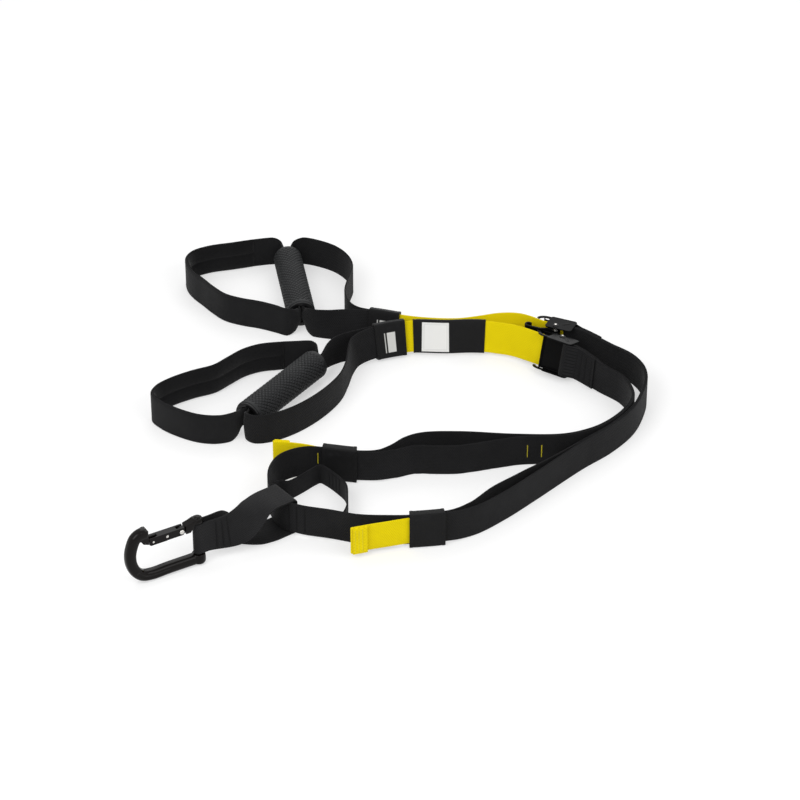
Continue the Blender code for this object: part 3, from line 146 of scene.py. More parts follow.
LOCKING_ROUTE = [
    (-1.33, -2.01, 0.4), (-1.22, -2.0), (-1.07, -1.87), (-0.94, -1.73), (-0.88, -1.685), (-0.81, -1.74),
    (-0.68, -1.9), (-0.59, -2.05), (-0.57, -2.28), (-0.58, -2.5), (-0.65, -2.655, 0.2),
]
LOCK_START_SPOT = (-1.42, -2.2)
LOCK_END_SPOT = (-0.98, -2.71)
TAB_A_ROUTE = [(-1.04, -1.478, 1), (-1.22, -1.44, 1), (-1.4, -1.42, 1)]
TAB_B_ROUTE = [(-0.13, -2.955, 1), (-0.33, -3.01, 1), (-0.52, -3.07, 1)]
# How far each adjuster strap bows away from the main strap, in grid squares, by share of the leg's length.
BOW_A = [
    (0.0, 0), (0.466, 0), (0.545, 0.02), (0.601, 0.11), (0.652, 0.215), (0.694, 0.265), (0.746, 0.26),
    (0.8, 0.2), (0.843, 0.1), (0.881, 0.02), (0.91, 0), (1.0, 0),
]
BOW_B = [
    (0.0, 0), (0.53, 0), (0.62, 0.03), (0.72, 0.1), (0.79, 0.13), (0.86, 0.07), (0.915, 0.01), (0.935, 0),
    (1.0, 0),
]
KEEPER_A_SPOT = (-0.845, -1.571)
KEEPER_B_SPOT = (0.105, -2.87)
BAR_SPOT = (-2.14, -3.17)
CROSSING_SPOT = (-1.345, -2.565)
CARABINER_ANGLE = radians(31)
# The carabiner's side view, in grid squares from its bar towards the nose and up from the table.
SPINE_LINE = [
    (0.0, 0.069), (0.12, 0.069), (0.36, 0.069), (0.56, 0.064), (0.67, 0.088), (0.745, 0.158), (0.79, 0.26),
    (0.8, 0.38), (0.775, 0.49), (0.735, 0.57), (0.675, 0.605), (0.615, 0.605),
]
ARM_OUTLINE = [
    (-0.02, 0.53), (0.05, 0.529), (0.1, 0.452), (0.158, 0.448), (0.158, 0.545), (0.1, 0.56), (0.04, 0.583),
    (-0.02, 0.575),
]
NOSE_OUTLINE = [(0.597, 0.475), (0.597, 0.655), (0.63, 0.663), (0.7, 0.64), (0.7, 0.56), (0.66, 0.5)]
HOOK_OUTLINE = [
    (0.625, 0.52), (0.625, 0.56), (0.5, 0.56), (0.5, 0.509), (0.525, 0.509), (0.545, 0.522), (0.575, 0.518),
]
GATE_OUTLINE = [
    (0.19, 0.45), (0.5, 0.448), (0.57, 0.446), (0.588, 0.462), (0.59, 0.541), (0.3, 0.541), (0.172, 0.541),
    (0.172, 0.47),
]
PIVOT_SPOT = (0.205, 0.495)
LATCH_SPOT = (0.54, 0.487)


def plan(point: Sequence[float]) -> Vector:
    """A point of the layout on the table."""
    return Vector(((point[0] - PLAN_CENTRE[0]) * GRID, (point[1] - PLAN_CENTRE[1]) * GRID, 0))


def linear(hex_colour: str) -> tuple[float, float, float, float]:
    """Turn an sRGB hex colour to linear light.

    Args:
        hex_colour: six hex digits, with or without a leading #.

    Returns:
        Red, green, blue and full alpha, as a shader socket takes them.
    """
    digits = hex_colour.lstrip("#")
    parts = [int(digits[i:i + 2], 16) / 255 for i in (0, 2, 4)]
    light = [c / 12.92 if c <= 0.04045 else ((c + 0.055) / 1.055) ** 2.4 for c in parts]
    return (light[0], light[1], light[2], 1.0)


def add(tree: NodeTree, kind: str, wires: dict | None = None, **settings: object) -> Node:
    """Add one node to a tree with its settings and links.

    Args:
        tree: the shader or geometry tree.
        kind: the node's type name.
        wires: input socket index or name, with a value, a socket or a node whose first output feeds it.
        **settings: properties of the node.

    Returns:
        The node.
    """
    node = tree.nodes.new(kind)
    for name, value in settings.items():
        setattr(node, name, value)
    wire(tree, node, wires or {})
    return node


def wire(tree: NodeTree, node: Node, wires: dict) -> None:
    """Set and link a node's inputs, as described for add.

    Args:
        tree: the tree that holds the node.
        node: the node.
        wires: input socket index or name, with what feeds it.
    """
    for key, value in wires.items():
        if isinstance(value, Node):
            value = value.outputs[0]
        if isinstance(value, bpy.types.NodeSocket):
            tree.links.new(value, node.inputs[key])
        else:
            node.inputs[key].default_value = value


def put(name: str, data: bpy.types.ID) -> bpy.types.Object:
    """A new object with this data, linked to the scene.

    Args:
        name: the object's name.
        data: its mesh, lamp or camera.

    Returns:
        The object, at the origin.
    """
    made = bpy.data.objects.new(name, data)
    bpy.context.scene.collection.objects.link(made)
    return made


@dataclass(frozen=True)
class Place:
    """A station on a course: foot on the table, heading, side across the face and rise along the width."""

    foot: Vector
    heading: Vector
    side: Vector
    rise: Vector
    lean: float
    pinch: float

    def at(self, across: float, high: float) -> Vector:
        """The point this far across the face and this far up the width."""
        return self.foot + self.side * across + self.rise * high


def place_of(foot: Vector, heading: Vector, lean: float, pinch: float) -> Place:
    """A station whose strap leans to its left by an angle.

    Args:
        foot: its foot.
        heading: its direction of travel.
        lean: the angle that it leans by.
        pinch: how far it is pinched, from 0 to 1.

    Returns:
        The station.
    """
    left = Vector((-heading.y, heading.x, 0))
    side = left * cos(lean) - UP * sin(lean)
    return Place(foot, heading, side, UP * cos(lean) + left * sin(lean), lean, pinch)


def blend_rows(rows: Rows, count: int = 14) -> list[Row]:
    """Run a centripetal Catmull-Rom curve through rows of numbers.

    Args:
        rows: the rows, whose first two numbers are the place.
        count: how many steps each span is cut into.

    Returns:
        The dense rows.
    """
    def gap(a: Row, b: Row) -> float:
        """The knot spacing between two rows."""
        return max(hypot(a[0] - b[0], a[1] - b[1]), GRID * 0.001) ** 0.5

    head = [tuple(2 * a - b for a, b in zip(rows[0], rows[1]))]
    tail = [tuple(2 * a - b for a, b in zip(rows[-1], rows[-2]))]
    knots = head + list(rows) + tail
    dense: list[Row] = []
    for i in range(1, len(knots) - 2):
        p = knots[i - 1:i + 3]
        t = [0.0]
        for a, b in zip(p, p[1:]):
            t.append(t[-1] + gap(a, b))
        for k in range(count):
            u = t[1] + (t[2] - t[1]) * k / count

            def mix(a: Row, b: Row, ta: float, tb: float) -> Row:
                """Two rows mixed at the knot value u."""
                return tuple(((tb - u) * x + (u - ta) * y) / (tb - ta) for x, y in zip(a, b))

            a1, a2, a3 = (mix(p[j], p[j + 1], t[j], t[j + 1]) for j in range(3))
            dense.append(mix(mix(a1, a2, t[0], t[2]), mix(a2, a3, t[1], t[3]), t[1], t[2]))
    dense.append(tuple(rows[-1]))
    return dense


class Course:
    """A smooth route on the table, read by the distance along it. It runs straight on past its ends."""

    def __init__(self, rows: Rows) -> None:
        """Lay the course.

        Args:
            rows: x, y in metres, then lift, lean and pinch as shares.
        """
        self.rows = blend_rows(rows)
        self.feet: list[Vector] = []
        self.lengths: list[float] = [0.0]
        self.marks: list[float] = []
        for x, y, lift, lean, _ in self.rows:
            seat = abs(sin(lean * LEAN_ANGLE)) * LEAN_SEAT
            foot = Vector((x, y, max(lift, 0) * SLEEVE_LIFT + seat))
            if self.feet:
                self.lengths.append(self.lengths[-1] + (foot.xy - self.feet[-1].xy).length)
            self.feet.append(foot)
        self.length = self.lengths[-1]

    def index(self, s: float) -> int:
        """The dense row at or before the distance s."""
        return min(max(bisect_right(self.lengths, s) - 1, 0), len(self.lengths) - 2)

    def foot(self, s: float) -> Vector:
        """The foot of the strap at the distance s.

        Args:
            s: the distance along the course.

        Returns:
            The point.
        """
        i = self.index(min(max(s, 0), self.length))
        share = (s - self.lengths[i]) / (self.lengths[i + 1] - self.lengths[i])
        point = self.feet[i].lerp(self.feet[i + 1], share)
        if s < 0 or s > self.length:
            point.z = (self.feet[0] if s < 0 else self.feet[-1]).z
        return point

    def heading(self, s: float) -> Vector:
        """The direction of travel at the distance s.

        Args:
            s: the distance along the course.

        Returns:
            The level unit vector.
        """
        reach = GRID * 0.015
        a, b = self.foot(s - reach), self.foot(s + reach)
        return Vector((b.x - a.x, b.y - a.y, 0)).normalized()

    def place(self, s: float) -> Place:
        """The station at the distance s.

        Args:
            s: the distance along the course.

        Returns:
            The station.
        """
        inside = min(max(s, 0), self.length)
        i = self.index(inside)
        share = (inside - self.lengths[i]) / (self.lengths[i + 1] - self.lengths[i])
        share = min(max(share, 0), 1)
        row = [a + (b - a) * share for a, b in zip(self.rows[i], self.rows[i + 1])]
        return place_of(self.foot(s), self.heading(s), row[3] * LEAN_ANGLE, min(max(row[4], 0), 1))

    def nearest(self, point: Vector | Row) -> float:
        """The distance along the course whose foot is nearest to a plan point, given in metres.

        Args:
            point: the point, of which x and y are read.

        Returns:
            The distance.
        """
        spot = Vector(point[:2])
        best = min(range(len(self.feet)), key=lambda i: (self.feet[i].xy - spot).length)
        return self.lengths[best]

    def stations(self, start: float, end: float, step: float = FINE_STEP) -> list[float]:
        """Distances from start to end, closer together where the course turns.

        Args:
            start: the first distance.
            end: the last distance.
            step: the longest step on a straight run.

        Returns:
            The distances, both ends among them.
        """
        fine = max(2, round(abs(end - start) / 0.001))
        marks, last, turned = [start], start, 0.0
        before = self.heading(start)
        for k in range(1, fine):
            s = start + (end - start) * k / fine
            now = self.heading(s)
            turned += before.angle(now, 0.0)
            before = now
            if turned > FINE_TURN or abs(s - last) > step:
                marks.append(s)
                last, turned = s, 0.0
        marks.append(end)
        return marks

    def settle(self, stops: Iterable[float]) -> None:
        """Fix the stations that every piece on this course shares, through the distances in stops.

        Args:
            stops: the distances, in any order.
        """
        ordered = sorted(stops)
        self.marks = [ordered[0]]
        for a, b in zip(ordered, ordered[1:]):
            self.marks += self.stations(a, b)[1:]

    def between(self, start: float, end: float) -> list[float]:
        """The shared stations from start to end.

        Args:
            start: the first distance.
            end: the last one, which may be the lower.

        Returns:
            The distances.
        """
        low, high = min(start, end), max(start, end)
        chosen = [s for s in self.marks if low - LAP_GAP / 3 < s < high + LAP_GAP / 3]
        return chosen if start < end else chosen[::-1]

    def row_on(self, s: float, across: float, turn: int = 1) -> Row:
        """A route row beside this course; turn is -1 where the new route runs the other way.

        Args:
            s: the distance along the course.
            across: how far beside it.
            turn: 1 or -1.

        Returns:
            The row, in metres.
        """
        place = self.place(s)
        foot = place.at(across, 0)
        lift = (foot.z - abs(sin(place.lean)) * LEAN_SEAT) / SLEEVE_LIFT
        return (foot.x, foot.y, lift, turn * place.lean / LEAN_ANGLE, place.pinch)


def on_table(rows: Rows, turn: int = 1) -> list[Row]:
    """Route rows in metres from rows in grid squares; turn is -1 where the lean is to the other side."""
    full = [(*row, 0, 0, 0)[:5] for row in rows]
    return [(*plan(r)[:2], r[2], turn * r[3], r[4]) for r in full]


def follow(table: Points, share: float) -> float:
    """A value read smoothly from rows of share and value.

    Args:
        table: rows of share and value.
        share: where to read.

    Returns:
        The value there.
    """
    for (s0, v0), (s1, v1) in zip(table, table[1:]):
        if share <= s1:
            t = min(max((share - s0) / (s1 - s0), 0), 1)
            return v0 + (v1 - v0) * t * t * (3 - 2 * t)
    return table[-1][1]


def frame_at(origin: Vector, x_axis: Vector, y_axis: Vector, z_axis: Vector) -> Matrix:
    """A matrix with these axes and origin."""
    return Matrix.Translation(origin) @ Matrix((x_axis, y_axis, z_axis)).transposed().to_4x4()


@dataclass(frozen=True)
class Cut:
    """One section of a strap: the middle of its lower edge, its axes and its sizes."""

    foot: Vector
    side: Vector
    rise: Vector
    along: float
    thick: float = WEB_THICK
    low: float = 0.0
    high: float = WEB_WIDTH
    cup: float = 0.0
    crown: float = 0.0

    def point(self, x: float, y: float) -> Vector:
        """A point of the section, x across the thickness and y up the width, with the strap's cup."""
        share = (y - self.low) / (self.high - self.low) * 2 - 1
        return self.foot + self.side * (x + self.cup * share * share) + self.rise * y


def cut_at(course: Course, s: float, across: float = 0.0, thick: float = WEB_THICK, full: float = WEB_WIDTH,
           cup: float = 0.0, along: float | None = None) -> Cut:
    """The section of a strap on a course.

    Args:
        course: the course that the strap follows.
        s: the distance along it.
        across: how far beside the course the strap's middle runs.
        thick: the strap's thickness.
        full: its width where nothing pinches it.
        cup: how far its edges curl to the left where it is pinched.
        along: the distance that its weave is counted from, s where None.

    Returns:
        The section.
    """
    place = course.place(s)
    half = (full + (PINCHED_WIDTH - full) * place.pinch) / 2
    return Cut(place.at(across, 0), place.side, place.rise, s if along is None else along, thick,
               full / 2 - half, full / 2 + half, cup * place.pinch)


def section_points(cut: Cut, flats: int = 8, bends: int = 3) -> list[Row]:
    """The outline of a strap's section, from the top of its left face down and back up the right face.

    Args:
        cut: the section.
        flats: how many steps each face has.
        bends: how many points each rounded edge has.

    Returns:
        Rows of x, y and the weave's v, which is positive on the left face and negative on the right one.
    """
    half = cut.thick / 2
    radius = half * 0.92
    rows: list[Row] = []
    for sign in (1, -1):
        heights = [cut.high - radius - (cut.high - cut.low - 2 * radius) * k / flats
                   for k in range(flats + 1)]
        bend = [(sin(pi / 2 * k / (bends + 1)), cos(pi / 2 * k / (bends + 1))) for k in range(bends + 1)]
        edge = [(x * half, cut.high - radius + radius * y) for x, y in bend]
        face = [(half + cut.crown * sin(pi * k / flats), y) for k, y in enumerate(heights)]
        foot = [(x * half, cut.low + radius - radius * y) for x, y in bend[::-1]]
        run = edge + face + foot
        if sign < 0:
            run = run[::-1]
        rows += [(sign * x, y, sign * (y - cut.low)) for x, y in run[:-1]]
    return rows


class Weave(Enum):
    """How the yarns of a cloth cross."""

    PLAIN = "plain"
    CHEVRON = "chevron"


@dataclass(frozen=True)
class Panel:
    """A plain patch of another colour on a cloth, in metres along and across it."""

    u: Point2
    v: Point2
    hex_colour: str
    strength: float = 0.94


@dataclass(frozen=True)
class ClothFinish:
    """Polyester yarn woven on a narrow loom: ribs along the strap in columns with painted shade between the
    yarns, a tight edge, dull fuzz.
    """

    name: str
    # face is the yarn's own colour; gap is the painted shade between the yarns.
    face: str
    gap: str
    worn: str
    rib: float = 0.0023
    column: float = 0.0019
    depth: float = 0.00026
    width: float = WEB_WIDTH
    roughness: float = 0.78
    sheen: float = 0.15
    gloss: float = 0.12
    wear: float = 0.35
    slump: float = 0.0006
    weave: Weave = Weave.CHEVRON
    panels: tuple[Panel, ...] = ()
    slot: str = "black_webbing"

    def build(self) -> Material:
        """Make the material from the cloth's UV map, whose u and v are metres along and across it.

        Returns:
            The material.
        """
        made = bpy.data.materials.new(self.name)
        made.use_nodes = True
        tree = made.node_tree
        spot = add(tree, "ShaderNodeTexCoord")
        split = add(tree, "ShaderNodeSeparateXYZ", {0: spot.outputs["UV"]})
        high = add(tree, MATH, {0: split.outputs[1]}, operation="ABSOLUTE")
        # Columns of yarn up the width, twice as wide as the real yarn, so that they show from afar.
        column = add(tree, MATH, {0: high, 1: self.column}, operation="DIVIDE")
        number = add(tree, MATH, {0: column}, operation="FLOOR")
        odd = add(tree, MATH, {0: number, 1: 2.0}, operation="MODULO")
        inside = add(tree, MATH, {0: column}, operation="FRACT")
        ribs = add(tree, MATH, {0: split.outputs[0], 1: self.rib}, operation="DIVIDE")
        if self.weave is Weave.CHEVRON:
            lean = add(tree, MATH, {0: odd, 1: -2.0, 2: 1.0}, operation="MULTIPLY_ADD")
            shift = add(tree, MATH, {0: inside, 1: lean}, operation="MULTIPLY")
        else:
            shift = add(tree, MATH, {0: odd, 1: 0.5}, operation="MULTIPLY")
        row = add(tree, MATH, {0: ribs, 1: shift}, operation="ADD")
        turns = add(tree, MATH, {0: row, 1: pi}, operation="MULTIPLY")
        wave = add(tree, MATH, {0: turns}, operation="SINE")
        float_height = add(tree, MATH, {0: wave}, operation="ABSOLUTE")
        round_turns = add(tree, MATH, {0: column, 1: pi}, operation="MULTIPLY")
        round_wave = add(tree, MATH, {0: round_turns}, operation="SINE")
        yarn_height = add(tree, MATH, {0: round_wave}, operation="ABSOLUTE")
        yarn_height = add(tree, MATH, {0: yarn_height, 1: 0.5}, operation="POWER")
        woven = add(tree, MATH, {0: float_height, 1: yarn_height}, operation="MULTIPLY")
        # The tight edge: a mask of the last columns, where more fuzz is laid.
        from_top = add(tree, MATH, {0: self.width, 1: high}, operation="SUBTRACT")
        edge = add(tree, MATH, {0: high, 1: from_top}, operation="MINIMUM")
        edge = add(tree, RANGE, {0: edge, 1: 0.0004, 2: 0.0022, 3: 1.0, 4: 0.0})
        broad, fuzz, rubbed = [
            add(tree, NOISE, {"Vector": spot.outputs["Object"], "Scale": size, "Detail": steps})
            for size, steps in ((34.0, 3.0), (1500.0, 2.0), (160.0, 5.0))]
        # Colour: painted shade, deep between the yarns and lighter on them, drifting along the strap, greyed at
        # the edges.
        shade = add(tree, RANGE, {0: woven, 1: 0.05, 2: 0.75, 3: 0.0, 4: 1.0})
        drift = add(tree, RANGE, {0: broad, 1: 0.3, 2: 0.7, 3: -0.22, 4: 0.18})
        shade = add(tree, MATH, {0: shade, 1: drift}, operation="ADD", use_clamp=True)
        colour = add(tree, MIX, {0: shade, 6: linear(self.gap), 7: linear(self.face)}, data_type="RGBA")
        lint = add(tree, RANGE, {0: rubbed, 1: 0.52, 2: 0.74, 3: 0.0, 4: self.wear})
        where = add(tree, RANGE, {0: edge, 1: 0.0, 2: 1.0, 3: 0.25, 4: 1.0})
        lint = add(tree, MATH, {0: lint, 1: where}, operation="MULTIPLY")
        colour = add(tree, MIX, {0: lint, 6: colour.outputs[2], 7: linear(self.worn)}, data_type="RGBA")
        for panel in self.panels:
            colour = self.paint(tree, split, colour, panel)
        rough = add(tree, RANGE, {0: woven, 3: self.roughness + 0.12, 4: self.roughness - 0.06})
        rough = add(tree, MATH, {0: rough, 1: lint, 2: 0.0}, operation="ADD", use_clamp=True)
        deep = add(tree, BUMP, {"Height": broad, "Distance": self.slump, "Strength": 0.7})
        ribbed = add(tree, BUMP, {"Height": woven, "Distance": self.depth, "Strength": 0.8, "Normal": deep})
        fine = add(tree, BUMP, {"Height": fuzz, "Distance": 0.00008, "Strength": 0.5, "Normal": ribbed})
        wire(tree, tree.nodes["Principled BSDF"],
             {"Base Color": colour.outputs[2], "Roughness": rough, "Normal": fine, "Sheen Weight": self.sheen,
              "Sheen Roughness": 0.45, "IOR": 1.48, "Specular IOR Level": self.gloss})
        return made

    def paint(self, tree: NodeTree, split: Node, under: Node, panel: Panel) -> Node:
        """Lay a plain patch over the cloth's colour.

        Args:
            tree: the material's tree.
            split: the node whose first two outputs are u and v.
            under: the node whose third output is the colour so far.
            panel: the patch.

        Returns:
            The node with the colour so far and the patch on it.
        """
        masks = []
        for output, (low, high) in ((0, panel.u), (1, panel.v)):
            middle, half = (low + high) / 2, (high - low) / 2
            off = add(tree, MATH, {0: split.outputs[output], 1: middle}, operation="SUBTRACT")
            off = add(tree, MATH, {0: off}, operation="ABSOLUTE")
            masks.append(add(tree, RANGE, {0: off, 1: half - 0.0002, 2: half + 0.0002, 3: 1.0, 4: 0.0}))
        both = add(tree, MATH, {0: masks[0], 1: masks[1]}, operation="MULTIPLY")
        both = add(tree, MATH, {0: both, 1: panel.strength}, operation="MULTIPLY")
        return add(tree, MIX, {0: both, 6: under.outputs[2], 7: linear(panel.hex_colour)}, data_type="RGBA")


@dataclass(frozen=True)
class HardFinish:
    """Moulded, coated or bare hard stuff: a body colour, rubbed edges, painted shade in the hollows, a fine
    grain and a soft drift.
    """

    name: str
    body: str
    edge: str
    roughness: float
    metallic: float = 0.0
    edge_metallic: float = 0.0
    grain: float = 900.0
    grain_depth: float = 0.00005
    drift: float = 0.1
    wear: Point2 = (0.515, 0.56)
    wear_strength: float = 0.5
    coat: float = 0.0
    gloss: float = 0.5
    slot: str = "pin_steel"

    def build(self) -> Material:
        """Make the material.

        Returns:
            The material.
        """
        made = bpy.data.materials.new(self.name)
        made.use_nodes = True
        tree = made.node_tree
        spot = add(tree, "ShaderNodeTexCoord")
        grain, broad, chips = [
            add(tree, NOISE, {"Vector": spot.outputs["Object"], "Scale": size, "Detail": steps})
            for size, steps in ((self.grain, 3.0), (60.0, 4.0), (420.0, 6.0))]
        shape = add(tree, "ShaderNodeNewGeometry")
        # Rubbed edges: where the surface turns outwards sharply, broken up by the chips.
        sharp = add(tree, RANGE,
                    {0: shape.outputs["Pointiness"], 1: self.wear[0], 2: self.wear[1], 3: 0.0, 4: 1.0})
        broken = add(tree, RANGE, {0: chips, 1: 0.42, 2: 0.62, 3: 0.15, 4: 1.0})
        rubbed = add(tree, MATH, {0: sharp, 1: broken}, operation="MULTIPLY")
        rubbed = add(tree, MATH, {0: rubbed, 1: self.wear_strength}, operation="MULTIPLY")
        # Painted shade: the colour darkens where the surface turns inwards, in hollows and creases.
        hollow_shade = add(tree, RANGE, {0: shape.outputs["Pointiness"], 1: 0.44, 2: 0.5, 3: 0.72, 4: 1.0})
        tone = add(tree, RANGE, {0: broad, 1: 0.3, 2: 0.7, 3: 1.0 - self.drift, 4: 1.0 + self.drift})
        tone = add(tree, MATH, {0: tone, 1: hollow_shade}, operation="MULTIPLY")
        base = add(tree, MIX, {0: 1.0, 6: linear(self.body), 7: tone.outputs[0]}, data_type="RGBA",
                   blend_type="MULTIPLY")
        colour = add(tree, MIX, {0: rubbed, 6: base.outputs[2], 7: linear(self.edge)}, data_type="RGBA")
        rough = add(tree, RANGE,
                    {0: broad, 1: 0.3, 2: 0.7, 3: self.roughness - 0.05, 4: self.roughness + 0.07})
        bump = add(tree, BUMP, {"Height": grain, "Distance": self.grain_depth, "Strength": 0.6})
        metal = self.metallic
        if metal != self.edge_metallic:
            metal = add(tree, RANGE, {0: rubbed, 3: metal, 4: self.edge_metallic})
        wire(tree, tree.nodes["Principled BSDF"],
             {"Base Color": colour.outputs[2], "Roughness": rough, "Normal": bump, "Metallic": metal,
              "Specular IOR Level": self.gloss, "Coat Weight": self.coat, "Coat Roughness": 0.12})
        return made


class Finish(Enum):
    """Every finish on the part, by the stuff it is."""

    # Dope-dyed black polyester webbing: nearly black, dull, with grey fuzz on its edges.
    BLACK_WEBBING = ClothFinish("black_polyester_webbing", "#1f1f20", "#0c0c0d", "#353537", sheen=0.05)
    # The anchor's webbing is denser and flatter, so it shines a little more.
    ANCHOR_WEBBING = ClothFinish("dense_black_webbing", "#202021", "#0d0d0e", "#38383a", rib=0.0018,
                                 depth=0.0002, roughness=0.6, sheen=0.04, slump=0.0008, slot="anchor_webbing")
    # Bright yellow polyester webbing: saturated, with painted shade in its gaps that is slightly green.
    YELLOW_WEBBING = ClothFinish("yellow_polyester_webbing", "#ecd700", "#d6bf00", "#d2c024", roughness=0.72,
                                 depth=0.00015, sheen=0.03, wear=0.2, slump=0.0004, slot="yellow_webbing")
    NARROW_WEBBING = ClothFinish(
        "narrow_black_webbing", "#1f1f20", "#0c0c0d", "#353537", sheen=0.05, width=LOCK_WIDTH)
    # The cradles are a smooth brushed tricot over foam.
    CRADLE_FABRIC = ClothFinish(
        "cradle_tricot", "#202021", "#101011", "#323234", rib=0.0016, column=0.0014, depth=0.00014,
        roughness=0.88, sheen=0.08, wear=0.2, slump=0.0007, slot="cradle_fabric")
    PAD_FABRIC = ClothFinish(
        "pad_tricot_over_foam", "#19191a", "#0b0b0c", "#2b2b2d", rib=0.0014, column=0.0012, depth=0.00012,
        roughness=0.9, sheen=0.1, wear=0.15, slump=0.0009, slot="cradle_fabric")
    # Sleeves: coated nylon pack cloth in a plain weave, a little glossy.
    SLEEVE_FABRIC = ClothFinish(
        "coated_nylon_sleeve", "#161617", "#090909", "#303032", rib=0.0012, column=0.0012, depth=0.00012,
        roughness=0.55, sheen=0.05, weave=Weave.PLAIN, slump=0.0004, slot="sleeve_fabric")
    PATCHED_SLEEVE = ClothFinish(
        "coated_nylon_sleeve_with_pale_bars", "#161617", "#090909", "#303032", rib=0.0012, column=0.0012,
        depth=0.00012, roughness=0.55, sheen=0.05, weave=Weave.PLAIN, slump=0.0004, slot="sleeve_fabric",
        panels=(Panel((0.0125, 0.0225), (0.011, 0.035), "#d9d9d6", 0.9),
                Panel((0.0245, 0.0258), (0.011, 0.035), "#c9c9c6", 0.85)))
    # The label is printed satin: black ground, one blank white field.
    LABEL_SATIN = ClothFinish(
        "label_satin", "#1b1b1c", "#101010", "#2e2e30", rib=0.0009, column=0.0009, depth=0.00005,
        roughness=0.42, sheen=0.0, weave=Weave.PLAIN, wear=0.15, slump=0.0003, slot="label_fabric",
        panels=(Panel((0.0415, 0.0735), (0.0035, 0.0385), "#e9e9e6", 0.97),
                Panel((0.0437, 0.0713), (0.0057, 0.0363), "#d4d4d1", 0.5),
                Panel((0.0444, 0.0706), (0.0064, 0.0356), "#ebebe8", 0.97)))
    BLACK_THREAD = HardFinish("black_polyester_thread", "#121213", "#1e1e20", 0.6, gloss=0.12,
                              wear_strength=0.2, slot="black_webbing")
    YELLOW_THREAD = HardFinish(
        "yellow_polyester_thread", "#d9c800", "#e8da30", 0.6, wear_strength=0.2, slot="yellow_webbing")
    # Nitrile rubber, moulded with a diamond pattern: dark grey, matt, greyer where hands rub the tips.
    GRIP_RUBBER = HardFinish("moulded_nitrile_rubber", "#1e1f20", "#444547", 0.5, gloss=0.22, grain=1400.0,
                             grain_depth=0.00004, wear=(0.5, 0.6), wear_strength=0.45, slot="grip_rubber")
    # Injection-moulded ABS: satin black with a fine sparked grain.
    TUBE_PLASTIC = HardFinish("satin_abs", "#141415", "#303032", 0.38, gloss=0.3, grain=1600.0,
                              wear_strength=0.3, slot="tube_plastic")
    # Stamped steel with an electro-dipped coat: black, half glossy, bare grey where the edges rub.
    BUCKLE_PAINT = HardFinish(
        "dipped_black_steel", "#0b0b0c", "#7c7b78", 0.22, gloss=0.05, edge_metallic=0.9, grain=700.0,
        grain_depth=0.00003, wear=(0.53, 0.62), wear_strength=0.22, slot="buckle_paint")
    # Nickel-plated steel: bright, faintly turned.
    PIN_STEEL = HardFinish("nickel_plated_steel", "#c9c7c2", "#dedcd8", 0.24, metallic=1.0, edge_metallic=1.0,
                           grain=1200.0, grain_depth=0.00002)
    # The buckle pins' steel is phosphated: dark grey and half matt, paler where the heads rub.
    BLACK_PIN = HardFinish("phosphated_steel", "#1a1a1b", "#7d7c79", 0.4, gloss=0.2, metallic=0.3,
                           edge_metallic=1.0, grain=1200.0, grain_depth=0.00002, wear_strength=0.3)
    SPRING_STEEL = HardFinish(
        "spring_wire", "#9b9a97", "#bcbab6", 0.3, metallic=1.0, edge_metallic=1.0, slot="spring_steel")
    # Forged aluminium, anodised brown-black and sealed: glossy, with the bare metal on its corners.
    CARABINER_COAT = HardFinish(
        "anodised_forging", "#0c0908", "#8f8a84", 0.12, gloss=0.1, edge_metallic=1.0, grain=500.0,
        grain_depth=0.00003, wear=(0.54, 0.64), wear_strength=0.12, coat=0.08, slot="carabiner_coat")


class Wardrobe:
    """The materials made so far, one for each finish."""

    made: dict[Finish, Material] = {}

    @classmethod
    def of(cls, finish: Finish) -> Material:
        """The material of a finish, made when it is first asked for.

        Args:
            finish: the finish.

        Returns:
            Its material.
        """
        if finish not in cls.made:
            cls.made[finish] = finish.value.build()
        return cls.made[finish]


def dress(name: str, mesh: Mesh, finish: Finish, body: str, *nodes: str,
          smooth: float = 40.0) -> bpy.types.Object:
    """Put a mesh in the scene as a piece that rides on a body and stands for CAD nodes.

    Args:
        name: the piece's name.
        mesh: its mesh, with its place in its vertices.
        finish: what it is made of.
        body: the body that it rides on.
        nodes: the CAD nodes that it replaces.
        smooth: the angle in degrees past which an edge is sharp.

    Returns:
        The piece, at the origin.
    """
    mesh.name = name
    mesh.materials.clear()
    mesh.materials.append(Wardrobe.of(finish))
    mesh.shade_smooth()
    mesh.set_sharp_from_angle(angle=radians(smooth))
    piece = put(name, mesh)
    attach(piece, body)
    if nodes:
        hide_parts(*nodes)
    LOG.info("%s rides on %s: %d faces", name, body, len(mesh.polygons))
    return piece


def skin(rings: Sequence[Sequence[Vector]], waves: Sequence[tuple[Sequence[float], float]],
         closed: bool = False) -> Mesh:
    """Skin a cloth piece over rings of points, with its weave's coordinates in metres.

    Args:
        rings: rings of as many points each.
        waves: for each ring, its v values, one more than its points, and its u.
        closed: whether the last ring joins the first.

    Returns:
        The closed mesh.
    """
    grid = bmesh.new()
    uv = grid.loops.layers.uv.new("UVMap")
    made = [[grid.verts.new(p) for p in ring] for ring in rings]
    pairs = list(zip(range(len(made)), range(1, len(made))))
    if closed:
        pairs.append((len(made) - 1, 0))
    count = len(made[0])
    for a, b in pairs:
        far = waves[b][1] if b else waves[a][1] + (rings[0][0] - rings[a][0]).length
        for i in range(count):
            j = (i + 1) % count
            face = grid.faces.new((made[a][i], made[a][j], made[b][j], made[b][i]))
            marks = ((waves[a][1], waves[a][0][i]), (waves[a][1], waves[a][0][i + 1]),
                     (far, waves[b][0][i + 1]), (far, waves[b][0][i]))
            for loop, mark in zip(face.loops, marks):
                loop[uv].uv = mark
    if not closed:
        for ring, u in ((made[0][::-1], waves[0][1]), (made[-1], waves[-1][1])):
            for loop in grid.faces.new(ring).loops:
                loop[uv].uv = (u, 0.0)
    return outward(grid)


